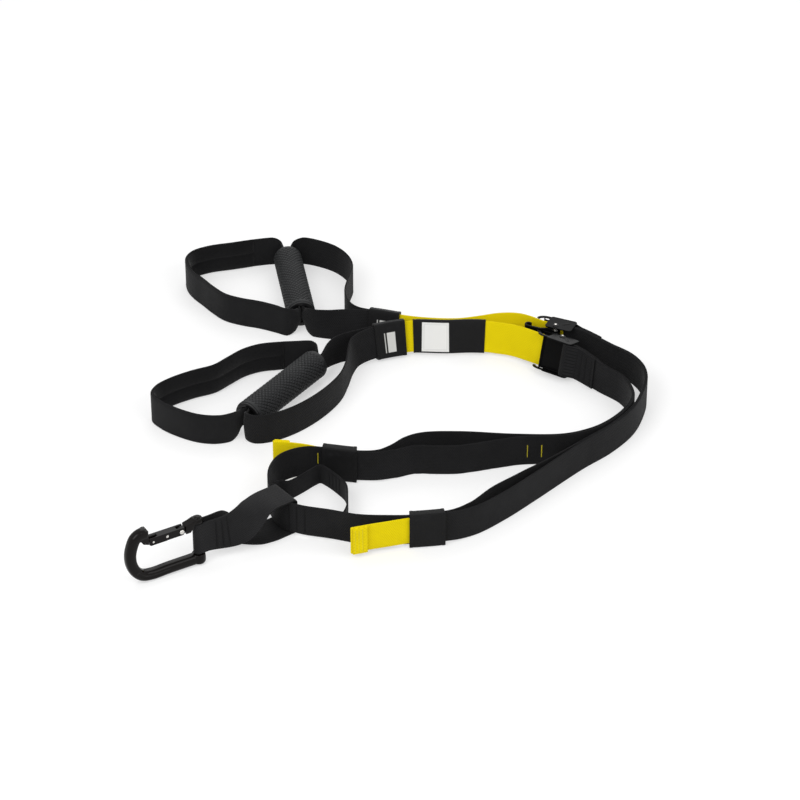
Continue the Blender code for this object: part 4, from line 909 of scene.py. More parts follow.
def outward(grid: bmesh.types.BMesh) -> Mesh:
    """A closed shape's plain mesh, its faces turned outwards.

    Args:
        grid: the shape, which is freed.

    Returns:
        The mesh.
    """
    bmesh.ops.recalc_face_normals(grid, faces=grid.faces)
    mesh = bpy.data.meshes.new("shape")
    grid.to_mesh(mesh)
    grid.free()
    return mesh


def same_way(cuts: Sequence[Cut]) -> list[Cut]:
    """Sections whose sides follow each other: one is turned over where its side runs against the last.

    Args:
        cuts: the sections in order.

    Returns:
        The sections, each facing as the one before it.
    """
    fixed = [cuts[0]]
    for cut in cuts[1:]:
        if fixed[-1].side.dot(cut.side) < 0:
            cut = replace(cut, side=-cut.side, cup=-cut.cup)
        fixed.append(cut)
    return fixed


def ribbon(name: str, cuts: Sequence[Cut], finish: Finish, node: str, flats: int = 8,
           closed: bool = False) -> None:
    """Make a strap through its sections.

    Args:
        name: the piece's name.
        cuts: the sections in order.
        finish: the strap's cloth.
        node: the CAD node that it replaces.
        flats: steps across each face.
        closed: whether the last section joins the first.
    """
    rings, waves = [], []
    for cut in same_way(cuts):
        rows = section_points(cut, flats)
        rings.append([cut.point(x, y) for x, y, _ in rows])
        waves.append(([v for _, _, v in rows] + [-(cut.high - cut.low)], cut.along))
    dress(name, skin(rings, waves, closed), finish, "webbing", node, smooth=55.0)


def rounded_loop(x: Point2, y: Point2, radius: float, steps: int = 8) -> list[Row]:
    """The outline of a flat tube's section, from the top's middle down the left face and back up the right.

    Args:
        x: lowest and highest x, across the face.
        y: lowest and highest y, up the width.
        radius: the corners' radius.
        steps: steps up each face.

    Returns:
        Rows of x, y and v, the distance round from the bottom's middle, negative on the right side.
    """
    radius = min(radius, (x[1] - x[0]) / 2 - 0.00005)
    half: list[Point2] = [((x[0] + x[1]) / 2, y[1])]
    for turn in (90, 0):
        centre = (x[1] - radius, y[1] - radius if turn else y[0] + radius)
        half += arc(centre, radius, turn, turn - 90, 4)
        if turn:
            top, low = y[1] - radius, y[0] + radius
            half += [(x[1], top + (low - top) * k / steps) for k in range(1, steps)]
    half.append(((x[0] + x[1]) / 2, y[0]))
    runs = [0.0]
    for a, b in zip(half, half[1:]):
        runs.append(runs[-1] + dist(a, b))
    left = [(p[0], p[1], runs[-1] - r) for p, r in zip(half, runs)]
    right = [(x[0] + x[1] - p[0], p[1], r - runs[-1]) for p, r in zip(half, runs)][::-1]
    return left[:-1] + [(px, py, v) for px, py, v in right[:-1]]


@dataclass
class Sleeve:
    """A flat tube of cloth round straps on a course, with a folded hem at each end."""

    name: str
    course: Course
    start: float
    end: float
    inner: Point2
    wall: float = SLEEVE_WALL
    height: float = WEB_WIDTH
    hem: float = 0.0034
    swell: float = 0.00025

    def bulk(self, s: float) -> float:
        """How thick the wall is at the distance s: fuller at the hems, pinched where their seams run.

        Args:
            s: the distance along the course.

        Returns:
            The thickness.
        """
        d = min(s - self.start, self.end - s)
        if d < self.hem:
            return self.wall + self.swell * sin(pi * min(max(d / self.hem, 0.12), 0.88))
        pinch = exp(-((d - self.hem) / 0.0009) ** 2)
        return self.wall - self.swell * 1.2 * pinch

    def build(self, finish: Finish, node: str) -> None:
        """Make the sleeve.

        Args:
            finish: its cloth.
            node: the CAD node that it replaces.
        """
        marks = [self.start, self.start + 0.0003, self.start + 0.0008]
        steps = max(10, round((self.end - self.start) / 0.0011))
        marks += [self.start + (self.end - self.start) * k / steps for k in range(1, steps)]
        marks += [self.end - 0.0008, self.end - 0.0003, self.end]
        marks = sorted(marks)
        path = [(s, 0.0, LAP_GAP) for s in marks[::4] + [marks[-1]]]
        path += [(marks[-1], self.wall * 0.5, LAP_GAP)]
        path += [(s, self.bulk(s), LAP_GAP) for s in marks[::-1]]
        path += [(marks[0], self.wall * 0.5, LAP_GAP)]
        rings, waves = [], []
        for s, out, gap in path:
            place = self.course.place(s)
            grow = out + gap
            rows = rounded_loop(
                (self.inner[0] - grow, self.inner[1] + grow), (-grow, self.height + grow), 0.0004 + out * 0.8)
            rings.append([place.at(x, y) for x, y, _ in rows])
            waves.append(([v for _, _, v in rows] + [-rows[0][2]], s - self.start))
        dress(self.name, skin(rings, waves, closed=True), finish, "webbing", node, smooth=70.0)


def solid(rings: Sequence[Sequence[Vector]], closed: bool = False) -> Mesh:
    """A closed mesh through rings of points, with end faces unless the rings close on themselves.

    Args:
        rings: rings of as many points each.
        closed: whether the last ring joins the first.

    Returns:
        The mesh.
    """
    grid = bmesh.new()
    made = [[grid.verts.new(p) for p in ring] for ring in rings]
    pairs = list(zip(made, made[1:])) + ([(made[-1], made[0])] if closed else [])
    for a, b in pairs:
        for i in range(len(a)):
            j = (i + 1) % len(a)
            grid.faces.new((a[i], a[j], b[j], b[i]))
    if not closed:
        grid.faces.new(made[0][::-1])
        grid.faces.new(made[-1])
    return outward(grid)


def prism(outline: Points, low: float, high: float) -> Mesh:
    """A flat outline raised between two heights."""
    return solid([[Vector((x, y, z)) for x, y in outline] for z in (low, high)])


def turned(profile: Points, frame: Matrix = STILL, sides: int = 40, bore: float | None = None) -> Mesh:
    """A shape turned about the frame's z axis.

    Args:
        profile: radius and height rows from one end to the other.
        frame: where the axis stands.
        sides: how many sides the turning has.
        bore: the radius of a straight hole right through, or None for a solid.

    Returns:
        The closed mesh.
    """
    rows = list(profile)
    if bore is not None:
        rows += [(bore, profile[-1][1]), (bore, profile[0][1])]
    circle = [(cos(tau * k / sides), sin(tau * k / sides)) for k in range(sides)]
    rings = [[frame @ Vector((radius * x, radius * y, z)) for x, y in circle] for radius, z in rows]
    return solid(rings, closed=bore is not None)


def arc(centre: Point2, radius: float, start: float, end: float, count: int) -> list[Point2]:
    """Points along an arc, angles in degrees."""
    angles = [radians(start + (end - start) * k / count) for k in range(count + 1)]
    return [(centre[0] + radius * cos(a), centre[1] + radius * sin(a)) for a in angles]


def thick_line(points: Points, thick: float) -> list[Point2]:
    """The outline of a line of a given thickness through points.

    Args:
        points: the line.
        thick: its thickness.

    Returns:
        The outline's points.
    """
    left, right = [], []
    for i, p in enumerate(points):
        a, b = points[max(i - 1, 0)], points[min(i + 1, len(points) - 1)]
        along = Vector((b[0] - a[0], b[1] - a[1])).normalized()
        across = Vector((-along.y, along.x)) * thick / 2
        left.append((p[0] + across.x, p[1] + across.y))
        right.append((p[0] - across.x, p[1] - across.y))
    return left + right[::-1]


def melt(meshes: Sequence[Mesh], holes: Sequence[Mesh], frame: Matrix, voxel: float, rounds: int) -> Mesh:
    """Run closed shapes together into one body with soft corners, as a forging or a dipped stamping has.

    Args:
        meshes: the shapes, in their own frame, where their flat faces follow its axes.
        holes: shapes to cut away first.
        frame: where the body goes.
        voxel: the size of the grid that the body is laid in.
        rounds: how often its corners are softened.

    Returns:
        The body's mesh, in place.
    """
    grid = bmesh.new()
    for mesh in meshes:
        grid.from_mesh(mesh)
    joined = bpy.data.meshes.new("shape")
    grid.to_mesh(joined)
    grid.free()
    body = put("body", joined)
    shaper = body.modifiers.new("melt", "REMESH")
    shaper.mode, shaper.voxel_size = "VOXEL", voxel
    helpers = []
    for mesh in holes:
        helper = put("helper", mesh)
        helpers.append(helper)
        cut = body.modifiers.new("cut", "BOOLEAN")
        cut.operation, cut.object, cut.solver = "DIFFERENCE", helper, "EXACT"
    if holes:
        again = body.modifiers.new("melt_again", "REMESH")
        again.mode, again.voxel_size = "VOXEL", voxel
    soften = body.modifiers.new("soften", "SMOOTH")
    soften.factor, soften.iterations = 0.5, rounds
    result = bpy.data.meshes.new_from_object(body.evaluated_get(bpy.context.evaluated_depsgraph_get()))
    for thing in [body, *helpers]:
        bpy.data.objects.remove(thing, do_unlink=True)
    return set_in(result, frame)


def set_in(mesh: Mesh, frame: Matrix) -> Mesh:
    """Set a mesh by a frame matrix, turned inside out where the frame mirrors it.

    Args:
        mesh: the mesh, which is changed.
        frame: the frame.

    Returns:
        The same mesh.
    """
    mesh.transform(frame)
    if frame.determinant() < 0:
        mesh.flip_normals()
    return mesh


def tree_result(tree: NodeTree, mesh: Mesh, inputs: dict[str, object]) -> Mesh:
    """Run a geometry tree on a mesh and take the plain mesh that comes out.

    Args:
        tree: the geometry tree.
        mesh: what goes in.
        inputs: the tree's inputs by name.

    Returns:
        The finished mesh.
    """
    holder = put("holder", mesh)
    modifier = holder.modifiers.new("shape", "NODES")
    modifier.node_group = tree
    for item in tree.interface.items_tree:
        if item.item_type == "SOCKET" and item.in_out == "INPUT" and item.name in inputs:
            modifier[item.identifier] = inputs[item.name]
    bpy.context.view_layer.update()
    result = bpy.data.meshes.new_from_object(holder.evaluated_get(bpy.context.evaluated_depsgraph_get()))
    bpy.data.objects.remove(holder, do_unlink=True)
    return result


def new_tree(name: str, numbers: Sequence[str], material: str) -> NodeTree:
    """A geometry tree with a geometry going in and out, and its named inputs.

    Args:
        name: the tree's name.
        numbers: the names of its number inputs.
        material: the name of its last input, a material.

    Returns:
        The tree.
    """
    tree = bpy.data.node_groups.new(name, "GeometryNodeTree")
    tree.interface.new_socket("Geometry", in_out="OUTPUT", socket_type="NodeSocketGeometry")
    inputs = [("Geometry", "Geometry"), *((label, "Float") for label in numbers), (material, "Material")]
    for label, kind in inputs:
        tree.interface.new_socket(label, in_out="INPUT", socket_type=f"NodeSocket{kind}")
    return tree


@dataclass
class Sewing:
    """All the part's stitches, gathered as short runs of thread and raised by one geometry tree."""

    radius: float = 0.00032
    pitch: float = 0.0034
    tack_pitch: float = 0.0009

    def __post_init__(self) -> None:
        """Start with nothing sewn."""
        self.runs: dict[tuple[str, Finish], list[tuple[Vector, Vector]]] = {}

    def row(self, group: str, thread: Finish, points: Sequence[Vector], pitch: float | None = None) -> None:
        """Sew a running seam along a line of points.

        Args:
            group: the piece that the stitches are gathered in.
            thread: the thread's finish.
            points: the line, on the cloth's surface.
            pitch: the stitch length, the usual one where None.
        """
        step = pitch or self.pitch
        runs = [0.0]
        for a, b in zip(points, points[1:]):
            runs.append(runs[-1] + (b - a).length)
        count = max(1, round(runs[-1] / step))
        spots, i = [], 0
        for k in range(count + 1):
            want = runs[-1] * k / count
            while i < len(runs) - 2 and runs[i + 1] < want:
                i += 1
            share = (want - runs[i]) / max(runs[i + 1] - runs[i], 1e-9)
            spots.append(points[i].lerp(points[i + 1], share))
        self.runs.setdefault((group, thread), []).extend(zip(spots, spots[1:]))

    def tack(self, group: str, thread: Finish, low: Vector, high: Vector, along: Vector,
             half: float = 0.0015) -> None:
        """Sew a bar tack: short stitches packed side by side from low to high.

        Args:
            group: the piece that the stitches are gathered in.
            thread: the thread's finish.
            low: one end of the bar.
            high: the other end.
            along: the direction that each stitch runs in.
            half: half a stitch's length.
        """
        count = max(3, round((high - low).length / self.tack_pitch))
        runs = self.runs.setdefault((group, thread), [])
        for k in range(count):
            spot = low.lerp(high, (k + 0.5) / count)
            runs.append((spot - along * half, spot + along * half))

    def bar(self, thread: Finish, place: Place, face: float, ends: Point2, half: float = 0.0015) -> None:
        """Tack up a strap's face at a station, between two heights on it."""
        low, high = (place.at(face, y) for y in ends)
        self.tack("strap_stitches", thread, low, high, place.heading, half)

    def tree(self) -> NodeTree:
        """The tree that lays one rounded stitch along each edge of a mesh.

        Returns:
            The geometry tree.
        """
        tree = new_tree("thread_stitches", ("Thread radius", "Cover"), "Thread")
        given = add(tree, "NodeGroupInput")
        ends = add(tree, "GeometryNodeInputMeshEdgeVertices")
        way = add(tree, VECTORS, {0: ends.outputs[3], 1: ends.outputs[2]}, operation="SUBTRACT")
        kept = add(tree, "GeometryNodeStoreNamedAttribute",
                   {"Geometry": given.outputs[0], "Name": "way", "Value": way}, data_type="FLOAT_VECTOR",
                   domain="EDGE")
        spots = add(tree, "GeometryNodeMeshToPoints", {"Mesh": kept}, mode="EDGES")
        read = add(tree, "GeometryNodeInputNamedAttribute", {"Name": "way"}, data_type="FLOAT_VECTOR")
        turn = add(tree, "FunctionNodeAlignRotationToVector", {"Vector": read.outputs[0]}, axis="X")
        length = add(tree, VECTORS, {0: read.outputs[0]}, operation="LENGTH")
        reach = add(tree, MATH, {0: length.outputs[1], 1: given.outputs[2]}, operation="MULTIPLY")
        size = add(tree, "ShaderNodeCombineXYZ", {0: reach, 1: given.outputs[1], 2: given.outputs[1]})
        bead = add(tree, "GeometryNodeMeshUVSphere", {"Segments": 6, "Rings": 4, "Radius": 1.0})
        laid = add(tree, "GeometryNodeInstanceOnPoints",
                   {"Points": spots, "Instance": bead, "Rotation": turn, "Scale": size})
        real = add(tree, "GeometryNodeRealizeInstances", {"Geometry": laid})
        smooth = add(tree, "GeometryNodeSetShadeSmooth", {"Geometry": real})
        done = add(tree, "GeometryNodeSetMaterial", {"Geometry": smooth, "Material": given.outputs[3]})
        add(tree, "NodeGroupOutput", {0: done})
        return tree

    def build(self) -> None:
        """Raise every run of thread into stitches, one piece for each group and thread."""
        tree = self.tree()
        for (group, thread), runs in self.runs.items():
            lines = bpy.data.meshes.new("lines")
            points = [p for run in runs for p in run]
            lines.from_pydata(points, [(2 * k, 2 * k + 1) for k in range(len(runs))], [])
            mesh = tree_result(
                tree, lines, {"Thread radius": self.radius, "Cover": 0.47, "Thread": Wardrobe.of(thread)})
            dress(f"{group}_{thread.name.lower()}", mesh, thread, "webbing", smooth=180)


@dataclass
class Leg:
    """One leg of the main strap, read from its cam buckle's bar towards the folded middle."""

    tag: str
    main: Course
    towards_end: bool
    keeper_spot: Point2
    bow: Points

    def __post_init__(self) -> None:
        """Find where the sliding keeper sits."""
        self.keeper_inner = self.main.nearest(plan(self.keeper_spot))
        self.keeper_outer = self.keeper_inner + (KEEPER_LENGTH if self.towards_end else -KEEPER_LENGTH)
        self.length = abs(self.keeper_inner - self.s(0))

    def s(self, along: float) -> float:
        """Distance on the main course at this distance from the bar."""
        return self.main.length - along if self.towards_end else along

    def buckle_place(self) -> tuple[Place, Vector]:
        """The bar's station and the direction to the handle."""
        place = self.main.place(self.s(0))
        return place, place.heading if self.towards_end else -place.heading


@dataclass
class MainStrap:
    """The long strap, folded at the anchor, with its two sewn ends and the adjusters beside its legs."""

    sewing: Sewing
    join: float = 0.0075
    wrap: float = 0.003 + LAP_GAP + WEB_THICK / 2
    marks: Points = ((1.43, -1.27), (1.57, -1.27))

    def __post_init__(self) -> None:
        """Lay the course and settle the stations that the pieces on it share."""
        self.course = Course(on_table(MAIN_ROUTE))
        self.legs = [Leg("a", self.course, False, KEEPER_A_SPOT, BOW_A),
                     Leg("b", self.course, True, KEEPER_B_SPOT, BOW_B)]
        stops: list[float] = []
        for leg in self.legs:
            stops += [leg.s(d) for d in (-self.join, 0, SEWN * 0.35, SEWN)]
            stops += [leg.keeper_inner, leg.keeper_outer]
        for spot in (LOCK_START_SPOT, LOCK_END_SPOT):
            at = self.course.nearest(plan(spot))
            stops += [at, at + LOCK_WIDTH / 2]
        self.course.settle(stops)

    def sewn_end(self, leg: Leg) -> list[Cut]:
        """Sections from where the strap is cut, back along itself and round the buckle's bar.

        Args:
            leg: the leg whose end it is.

        Returns:
            The sections, up to the bar's near side.
        """
        cuts = [cut_at(self.course, s, -LAP) for s in self.course.between(leg.s(SEWN), leg.s(SEWN * 0.35))]
        place, forward = leg.buckle_place()
        for x, y in arc((0, -self.wrap), self.wrap, -117, 60, 26):
            out = (forward * x + place.side * (y + self.wrap)).normalized()
            cuts.append(Cut(place.at(y, 0) + forward * x, out, place.rise, cuts[-1].along + 0.0006))
        return cuts

    def build(self) -> None:
        """Make the strap and its adjusters, and sew the ends, the fold and the marks."""
        course = self.course
        cuts = self.sewn_end(self.legs[0]) + [cut_at(course, s) for s in course.between(0, course.length)]
        cuts += self.sewn_end(self.legs[1])[::-1]
        ribbon("long_strap", cuts, Finish.BLACK_WEBBING, "main_strap")
        for leg in self.legs:
            self.adjuster(leg)
            for along in (0.34, 0.52, 0.7, 0.9):
                self.bar(leg.s(SEWN * along), -LAP - WEB_THICK / 2, Finish.BLACK_THREAD, (0.003, 0.035))
        fold = course.nearest(plan((-1.12, -2.67)))
        for step in (-0.008, 0.001, 0.01):
            for face in (-WEB_THICK / 2, WEB_THICK / 2):
                self.bar(fold + step, face, Finish.BLACK_THREAD, (0.003, 0.035))
        self.bar(course.nearest(plan((-0.9, -1.552))), WEB_THICK / 2, Finish.YELLOW_THREAD, (0.016, 0.03),
                 0.0007)

    def bar(self, s: float, face: float, thread: Finish, ends: Point2, half: float = 0.0012) -> None:
        """Sew a bar tack up the strap's face at the distance s."""
        self.sewing.bar(thread, self.course.place(s), face, ends, half)

    def adjuster(self, leg: Leg) -> None:
        """Make the strap beside a leg, from inside its buckle to inside its keeper.

        Args:
            leg: the leg.
        """
        bow = blend_rows(leg.bow, 8)

        def across(s: float) -> float:
            """How far beside the main strap the adjuster runs."""
            along = self.course.length - s if leg.towards_end else s
            return LAP + max(follow(bow, min(max(along / leg.length, 0), 1)), 0) * GRID

        marks = self.course.between(leg.s(-self.join), leg.keeper_inner)
        cuts = [cut_at(self.course, s, across(s)) for s in marks]
        ribbon(f"adjuster_{leg.tag}", cuts, Finish.BLACK_WEBBING, f"adjuster_strap_{leg.tag}")
        for spot in self.marks if leg.tag == "a" else ():
            s = self.course.nearest(plan(spot))
            self.bar(s, across(s) + WEB_THICK / 2, Finish.YELLOW_THREAD, (0.01, 0.026), 0.0008)


@dataclass
class SliderKeeper:
    """The sleeve that slides on a leg, with its yellow pull tab folded and sewn at the end."""

    leg: Leg
    route: Rows
    sewing: Sewing
    tab_width: float = 0.033
    block: float = 0.017
    fold_pitch: float = 0.00188

    def build(self) -> None:
        """Make the sleeve, the tab and their stitches."""
        leg, course = self.leg, self.leg.main
        start, end = sorted((leg.keeper_inner, leg.keeper_outer))
        sleeve = Sleeve(f"slider_sleeve_{leg.tag}", course, start, end, THREE_STRAPS)
        sleeve.build(Finish.SLEEVE_FABRIC, f"slider_keeper_{leg.tag}")
        sew_sleeve(self.sewing, sleeve, boxed=True)
        turn = -1 if leg.towards_end else 1
        fast = course.between(leg.keeper_outer, leg.keeper_inner)
        rows = [course.row_on(s, -LAP, turn) for s in fast[-2:]] + on_table(self.route)
        tab = Course(rows)
        low = (WEB_WIDTH - self.tab_width) / 2
        cuts = [replace(cut_at(course, s, -LAP, along=abs(s - fast[0])), low=low, high=WEB_WIDTH - low)
                for s in fast]
        begin = tab.nearest(rows[1])
        base = cuts[-1].along - begin
        away = 1 if leg.towards_end else -1
        for s in tab.stations(begin, tab.length - self.fold_pitch / 2)[1:]:
            cuts.append(replace(cut_at(tab, s, along=base + s), low=low, high=WEB_WIDTH - low))
        cuts += self.folds(tab, base, away, low)
        ribbon(f"pull_tab_{leg.tag}_webbing", cuts, Finish.YELLOW_WEBBING, f"pull_tab_{leg.tag}")
        top = away * (self.fold_pitch * 2 + WEB_THICK / 2)
        for back in (0.0035, 0.0075, 0.0115):
            self.sewing.bar(Finish.YELLOW_THREAD, tab.place(tab.length - back), top,
                            (low + 0.002, WEB_WIDTH - low - 0.002), 0.0009)

    def folds(self, tab: Course, base: float, away: int, low: float) -> list[Cut]:
        """Sections of the tab's end, folded back on itself twice.

        Args:
            tab: the tab's course.
            base: the weave's distance where the tab starts.
            away: the side that it folds to, 1 or -1.
            low: the height of its lower edge.

        Returns:
            The sections.
        """
        radius = self.fold_pitch / 2
        last = tab.length - radius
        back = tab.length - self.block + radius
        cuts: list[Cut] = []
        along = base + last
        for level, spot, forward in ((0, last, 1), (1, back, -1)):
            place = tab.place(spot)
            for k in range(1, 9):
                angle = pi * k / 9
                x = spot + forward * sin(angle) * radius
                y = away * (level * self.fold_pitch + radius - cos(angle) * radius)
                out = place.side * -away * cos(angle) + place.heading * forward * sin(angle)
                along += pi * radius / 9
                foot = place.at(y, 0) + place.heading * (x - spot)
                cuts.append(Cut(foot, out.normalized(), place.rise, along, low=low, high=WEB_WIDTH - low))
            ends = (last - 0.0015, back) if forward > 0 else (back, last)
            for s in tab.stations(*ends):
                along += 0.002
                cuts.append(replace(cut_at(tab, s, away * (level + 1) * self.fold_pitch, along=along),
                                    low=low, high=WEB_WIDTH - low))
        return cuts


def sew_sleeve(sewing: Sewing, sleeve: Sleeve, boxed: bool = False) -> None:
    """Sew a seam round each hem of a sleeve, and a box on its faces where asked.

    Args:
        sewing: the thread.
        sleeve: the sleeve.
        boxed: whether each face has a sewn rectangle.
    """
    low, high = -LAP_GAP - sleeve.wall * 0.3, sleeve.height + LAP_GAP + sleeve.wall * 0.3
    for x in (sleeve.inner[0] - LAP_GAP - sleeve.wall + 0.00012,
              sleeve.inner[1] + LAP_GAP + sleeve.wall - 0.00012):
        for s in (sleeve.start + sleeve.hem, sleeve.end - sleeve.hem):
            place = sleeve.course.place(s)
            sewing.row("sleeve_stitches", Finish.BLACK_THREAD, [place.at(x, low), place.at(x, high)], 0.0027)
        if boxed:
            a, b = sleeve.start + sleeve.hem * 2.2, sleeve.end - sleeve.hem * 2.2
            steps = [a + (b - a) * k / 6 for k in range(7)]
            for y in (high * 0.16, high * 0.84):
                sewing.row("sleeve_stitches", Finish.BLACK_THREAD,
                           [sleeve.course.place(s).at(x, y) for s in steps], 0.0027)
            for s in (a, b):
                place = sleeve.course.place(s)
                sewing.row("sleeve_stitches", Finish.BLACK_THREAD,
                           [place.at(x, high * 0.16), place.at(x, high * 0.84)], 0.0027)


@dataclass
class LowerStrap:
    """The yellow strap from a cam buckle to a handle's keeper."""

    leg: Leg
    route: Rows
    sewing: Sewing
    nose: float = 0.027
    arm: float = 0.005
    reach: float = 0.015

    def build(self) -> Course:
        """Make the strap.

        Returns:
            Its course, which the handle and the label read too.
        """
        turn = 1 if self.leg.towards_end else -1
        rows = [self.leg.main.row_on(self.leg.s(-d), LAP, turn) for d in
                (0.0, self.reach, self.nose, self.nose + self.arm)]
        course = Course(rows + on_table(self.route, -1))
        keeper = course.length - HANDLE_KEEPER_LENGTH
        end = course.length - HANDLE_KEEPER_LENGTH * 0.4
        course.settle([self.reach * 0.5 + LAP_GAP, self.nose + self.arm, keeper, end, course.length])
        cuts = [cut_at(course, s) for s in course.between(self.reach * 0.5 + LAP_GAP, end)]
        ribbon(f"yellow_strap_{self.leg.tag}", cuts, Finish.YELLOW_WEBBING, f"lower_strap_{self.leg.tag}")
        return course


@dataclass
class Label:
    """The satin sleeve on the near yellow strap, with a blank white field."""

    course: Course
    sewing: Sewing

    def build(self) -> None:
        """Make the label and its end seams."""
        end = self.course.length - HANDLE_KEEPER_LENGTH - LABEL_SPACE
        sleeve = Sleeve("satin_label", self.course, end - LABEL_LENGTH, end, (-WEB_THICK / 2, WEB_THICK / 2),
                        LABEL_WALL, hem=0.0022, swell=0.0001)
        sleeve.build(Finish.LABEL_SATIN, "label_sleeve")
        sew_sleeve(self.sewing, sleeve)


@dataclass
class Grip:
    """A handle's rubber grip on its plastic tube, with the tube's two mouths."""

    tag: str
    ends: Points
    length: float = 0.13
    radius: float = 0.0172
    tube_radius: float = 0.015
    bore: float = 0.0118
    rim_radius: float = 0.0164
    rim: float = 0.002
    height: float = WEB_WIDTH / 2
    diamonds: int = 22
    diamond_length: float = 0.006
    relief: float = 0.001

    def __post_init__(self) -> None:
        """Find the grip's axis."""
        far, near = plan(self.ends[0]), plan(self.ends[1])
        self.middle = (far + near) / 2
        self.middle.z = self.height
        self.along = (far - near).normalized()
        self.triangle_side = Vector((self.along.y, -self.along.x, 0))
        self.reach = self.length / 2 + LAP_GAP + self.rim
        self.frame = frame_at(self.middle, UP.cross(self.along), UP, self.along)

    def sleeve_blank(self) -> Mesh:
        """The smooth rubber sleeve along z, fine enough to take the moulded pattern.

        Returns:
            The blank.
        """
        half, lip = self.length / 2, 0.0011
        rows: list[Point2] = [(self.radius - lip + lip * sin(a), -half + lip - lip * cos(a))
                              for a in (pi / 2 * k / 5 for k in range(6))]
        steps = 210
        rows += [(self.radius, -half + lip + (self.length - 2 * lip) * k / steps) for k in range(1, steps)]
        rows += [(self.radius - lip + lip * cos(a), half - lip + lip * sin(a))
                 for a in (pi / 2 * k / 5 for k in range(6))]
        return turned(rows, sides=self.diamonds * 8, bore=self.tube_radius + LAP_GAP)

    def moulding(self) -> NodeTree:
        """The tree that raises a diamond pattern on a turned sleeve along z.

        Returns:
            The geometry tree.
        """
        tree = new_tree("diamond_moulding",
                        ("Diamonds round", "Diamond length", "Relief", "Plain end", "Skin"), "Rubber")
        given = add(tree, "NodeGroupInput")
        spot = add(tree, "GeometryNodeInputPosition")
        split = add(tree, "ShaderNodeSeparateXYZ", {0: spot})
        angle = add(tree, MATH, {0: split.outputs[1], 1: split.outputs[0]}, operation="ARCTAN2")
        per_turn = add(tree, MATH, {0: given.outputs[1], 1: tau}, operation="DIVIDE")
        around = add(tree, MATH, {0: angle, 1: per_turn}, operation="MULTIPLY")
        length = add(tree, MATH, {0: split.outputs[2], 1: given.outputs[2]}, operation="DIVIDE")
        sides = []
        for operation in ("ADD", "SUBTRACT"):
            slope = add(tree, MATH, {0: around, 1: length}, operation=operation)
            sides.append(add(tree, MATH, {0: slope, 1: 0.5}, operation="PINGPONG"))
        low = add(tree, MATH, {0: sides[0], 1: sides[1]}, operation="MINIMUM")
        raised = add(tree, RANGE, {0: low, 1: 0.03, 2: 0.2, 3: -1.0, 4: 0.0}, interpolation_type="SMOOTHSTEP")
        from_end = add(tree, MATH, {0: split.outputs[2]}, operation="ABSOLUTE")
        plain = add(tree, MATH, {0: given.outputs[4], 1: from_end}, operation="SUBTRACT")
        inside = add(tree, RANGE, {0: plain, 1: 0.0, 2: 0.0012})
        flat = add(tree, "ShaderNodeCombineXYZ", {0: split.outputs[0], 1: split.outputs[1], 2: 0.0})
        out = add(tree, VECTORS, {0: flat}, operation="LENGTH")
        outer = add(tree, MATH, {0: out.outputs[1], 1: given.outputs[5]}, operation="GREATER_THAN")
        depth = add(tree, MATH, {0: raised, 1: given.outputs[3]}, operation="MULTIPLY")
        depth = add(tree, MATH, {0: depth, 1: inside}, operation="MULTIPLY")
        depth = add(tree, MATH, {0: depth, 1: outer}, operation="MULTIPLY")
        way = add(tree, VECTORS, {0: flat}, operation="NORMALIZE")
        move = add(tree, VECTORS, {0: way, 3: depth}, operation="SCALE")
        shaped = add(tree, "GeometryNodeSetPosition", {"Geometry": given.outputs[0], "Offset": move})
        real = add(tree, "GeometryNodeRealizeInstances", {"Geometry": shaped})
        done = add(tree, "GeometryNodeSetMaterial", {"Geometry": real, "Material": given.outputs[6]})
        add(tree, "NodeGroupOutput", {0: done})
        return tree

    def build(self) -> None:
        """Make the tube with its rounded mouths and the moulded sleeve on it."""
        body = f"grip_{self.tag}"
        end, rim = self.reach, self.rim
        lip = rim * 0.45
        half_rows: list[Point2] = [(self.bore + 0.0003, -end + 0.0002), (self.bore + 0.0008, -end)]
        half_rows += arc((self.rim_radius - lip, -end + lip), lip, -90, 0, 5)
        half_rows += [(self.rim_radius, -end + rim - lip * 0.4), (self.rim_radius - lip * 0.4, -end + rim),
                      (self.tube_radius, -end + rim)]
        rows = half_rows + [(r, -z) for r, z in half_rows[::-1]]
        tube = turned(rows, sides=72, bore=self.bore)
        dress(f"handle_tube_{self.tag}", set_in(tube, self.frame), Finish.TUBE_PLASTIC, body,
              f"grip_tube_{self.tag}")
        inputs = {"Diamonds round": float(self.diamonds), "Diamond length": self.diamond_length,
                  "Relief": self.relief, "Plain end": self.length / 2 - 0.0035,
                  "Skin": self.tube_radius + 0.0009, "Rubber": Wardrobe.of(Finish.GRIP_RUBBER)}
        mesh = tree_result(self.moulding(), self.sleeve_blank(), inputs)
        dress(f"moulded_grip_{self.tag}", set_in(mesh, self.frame), Finish.GRIP_RUBBER, body,
              f"grip_sleeve_{self.tag}", smooth=60.0)


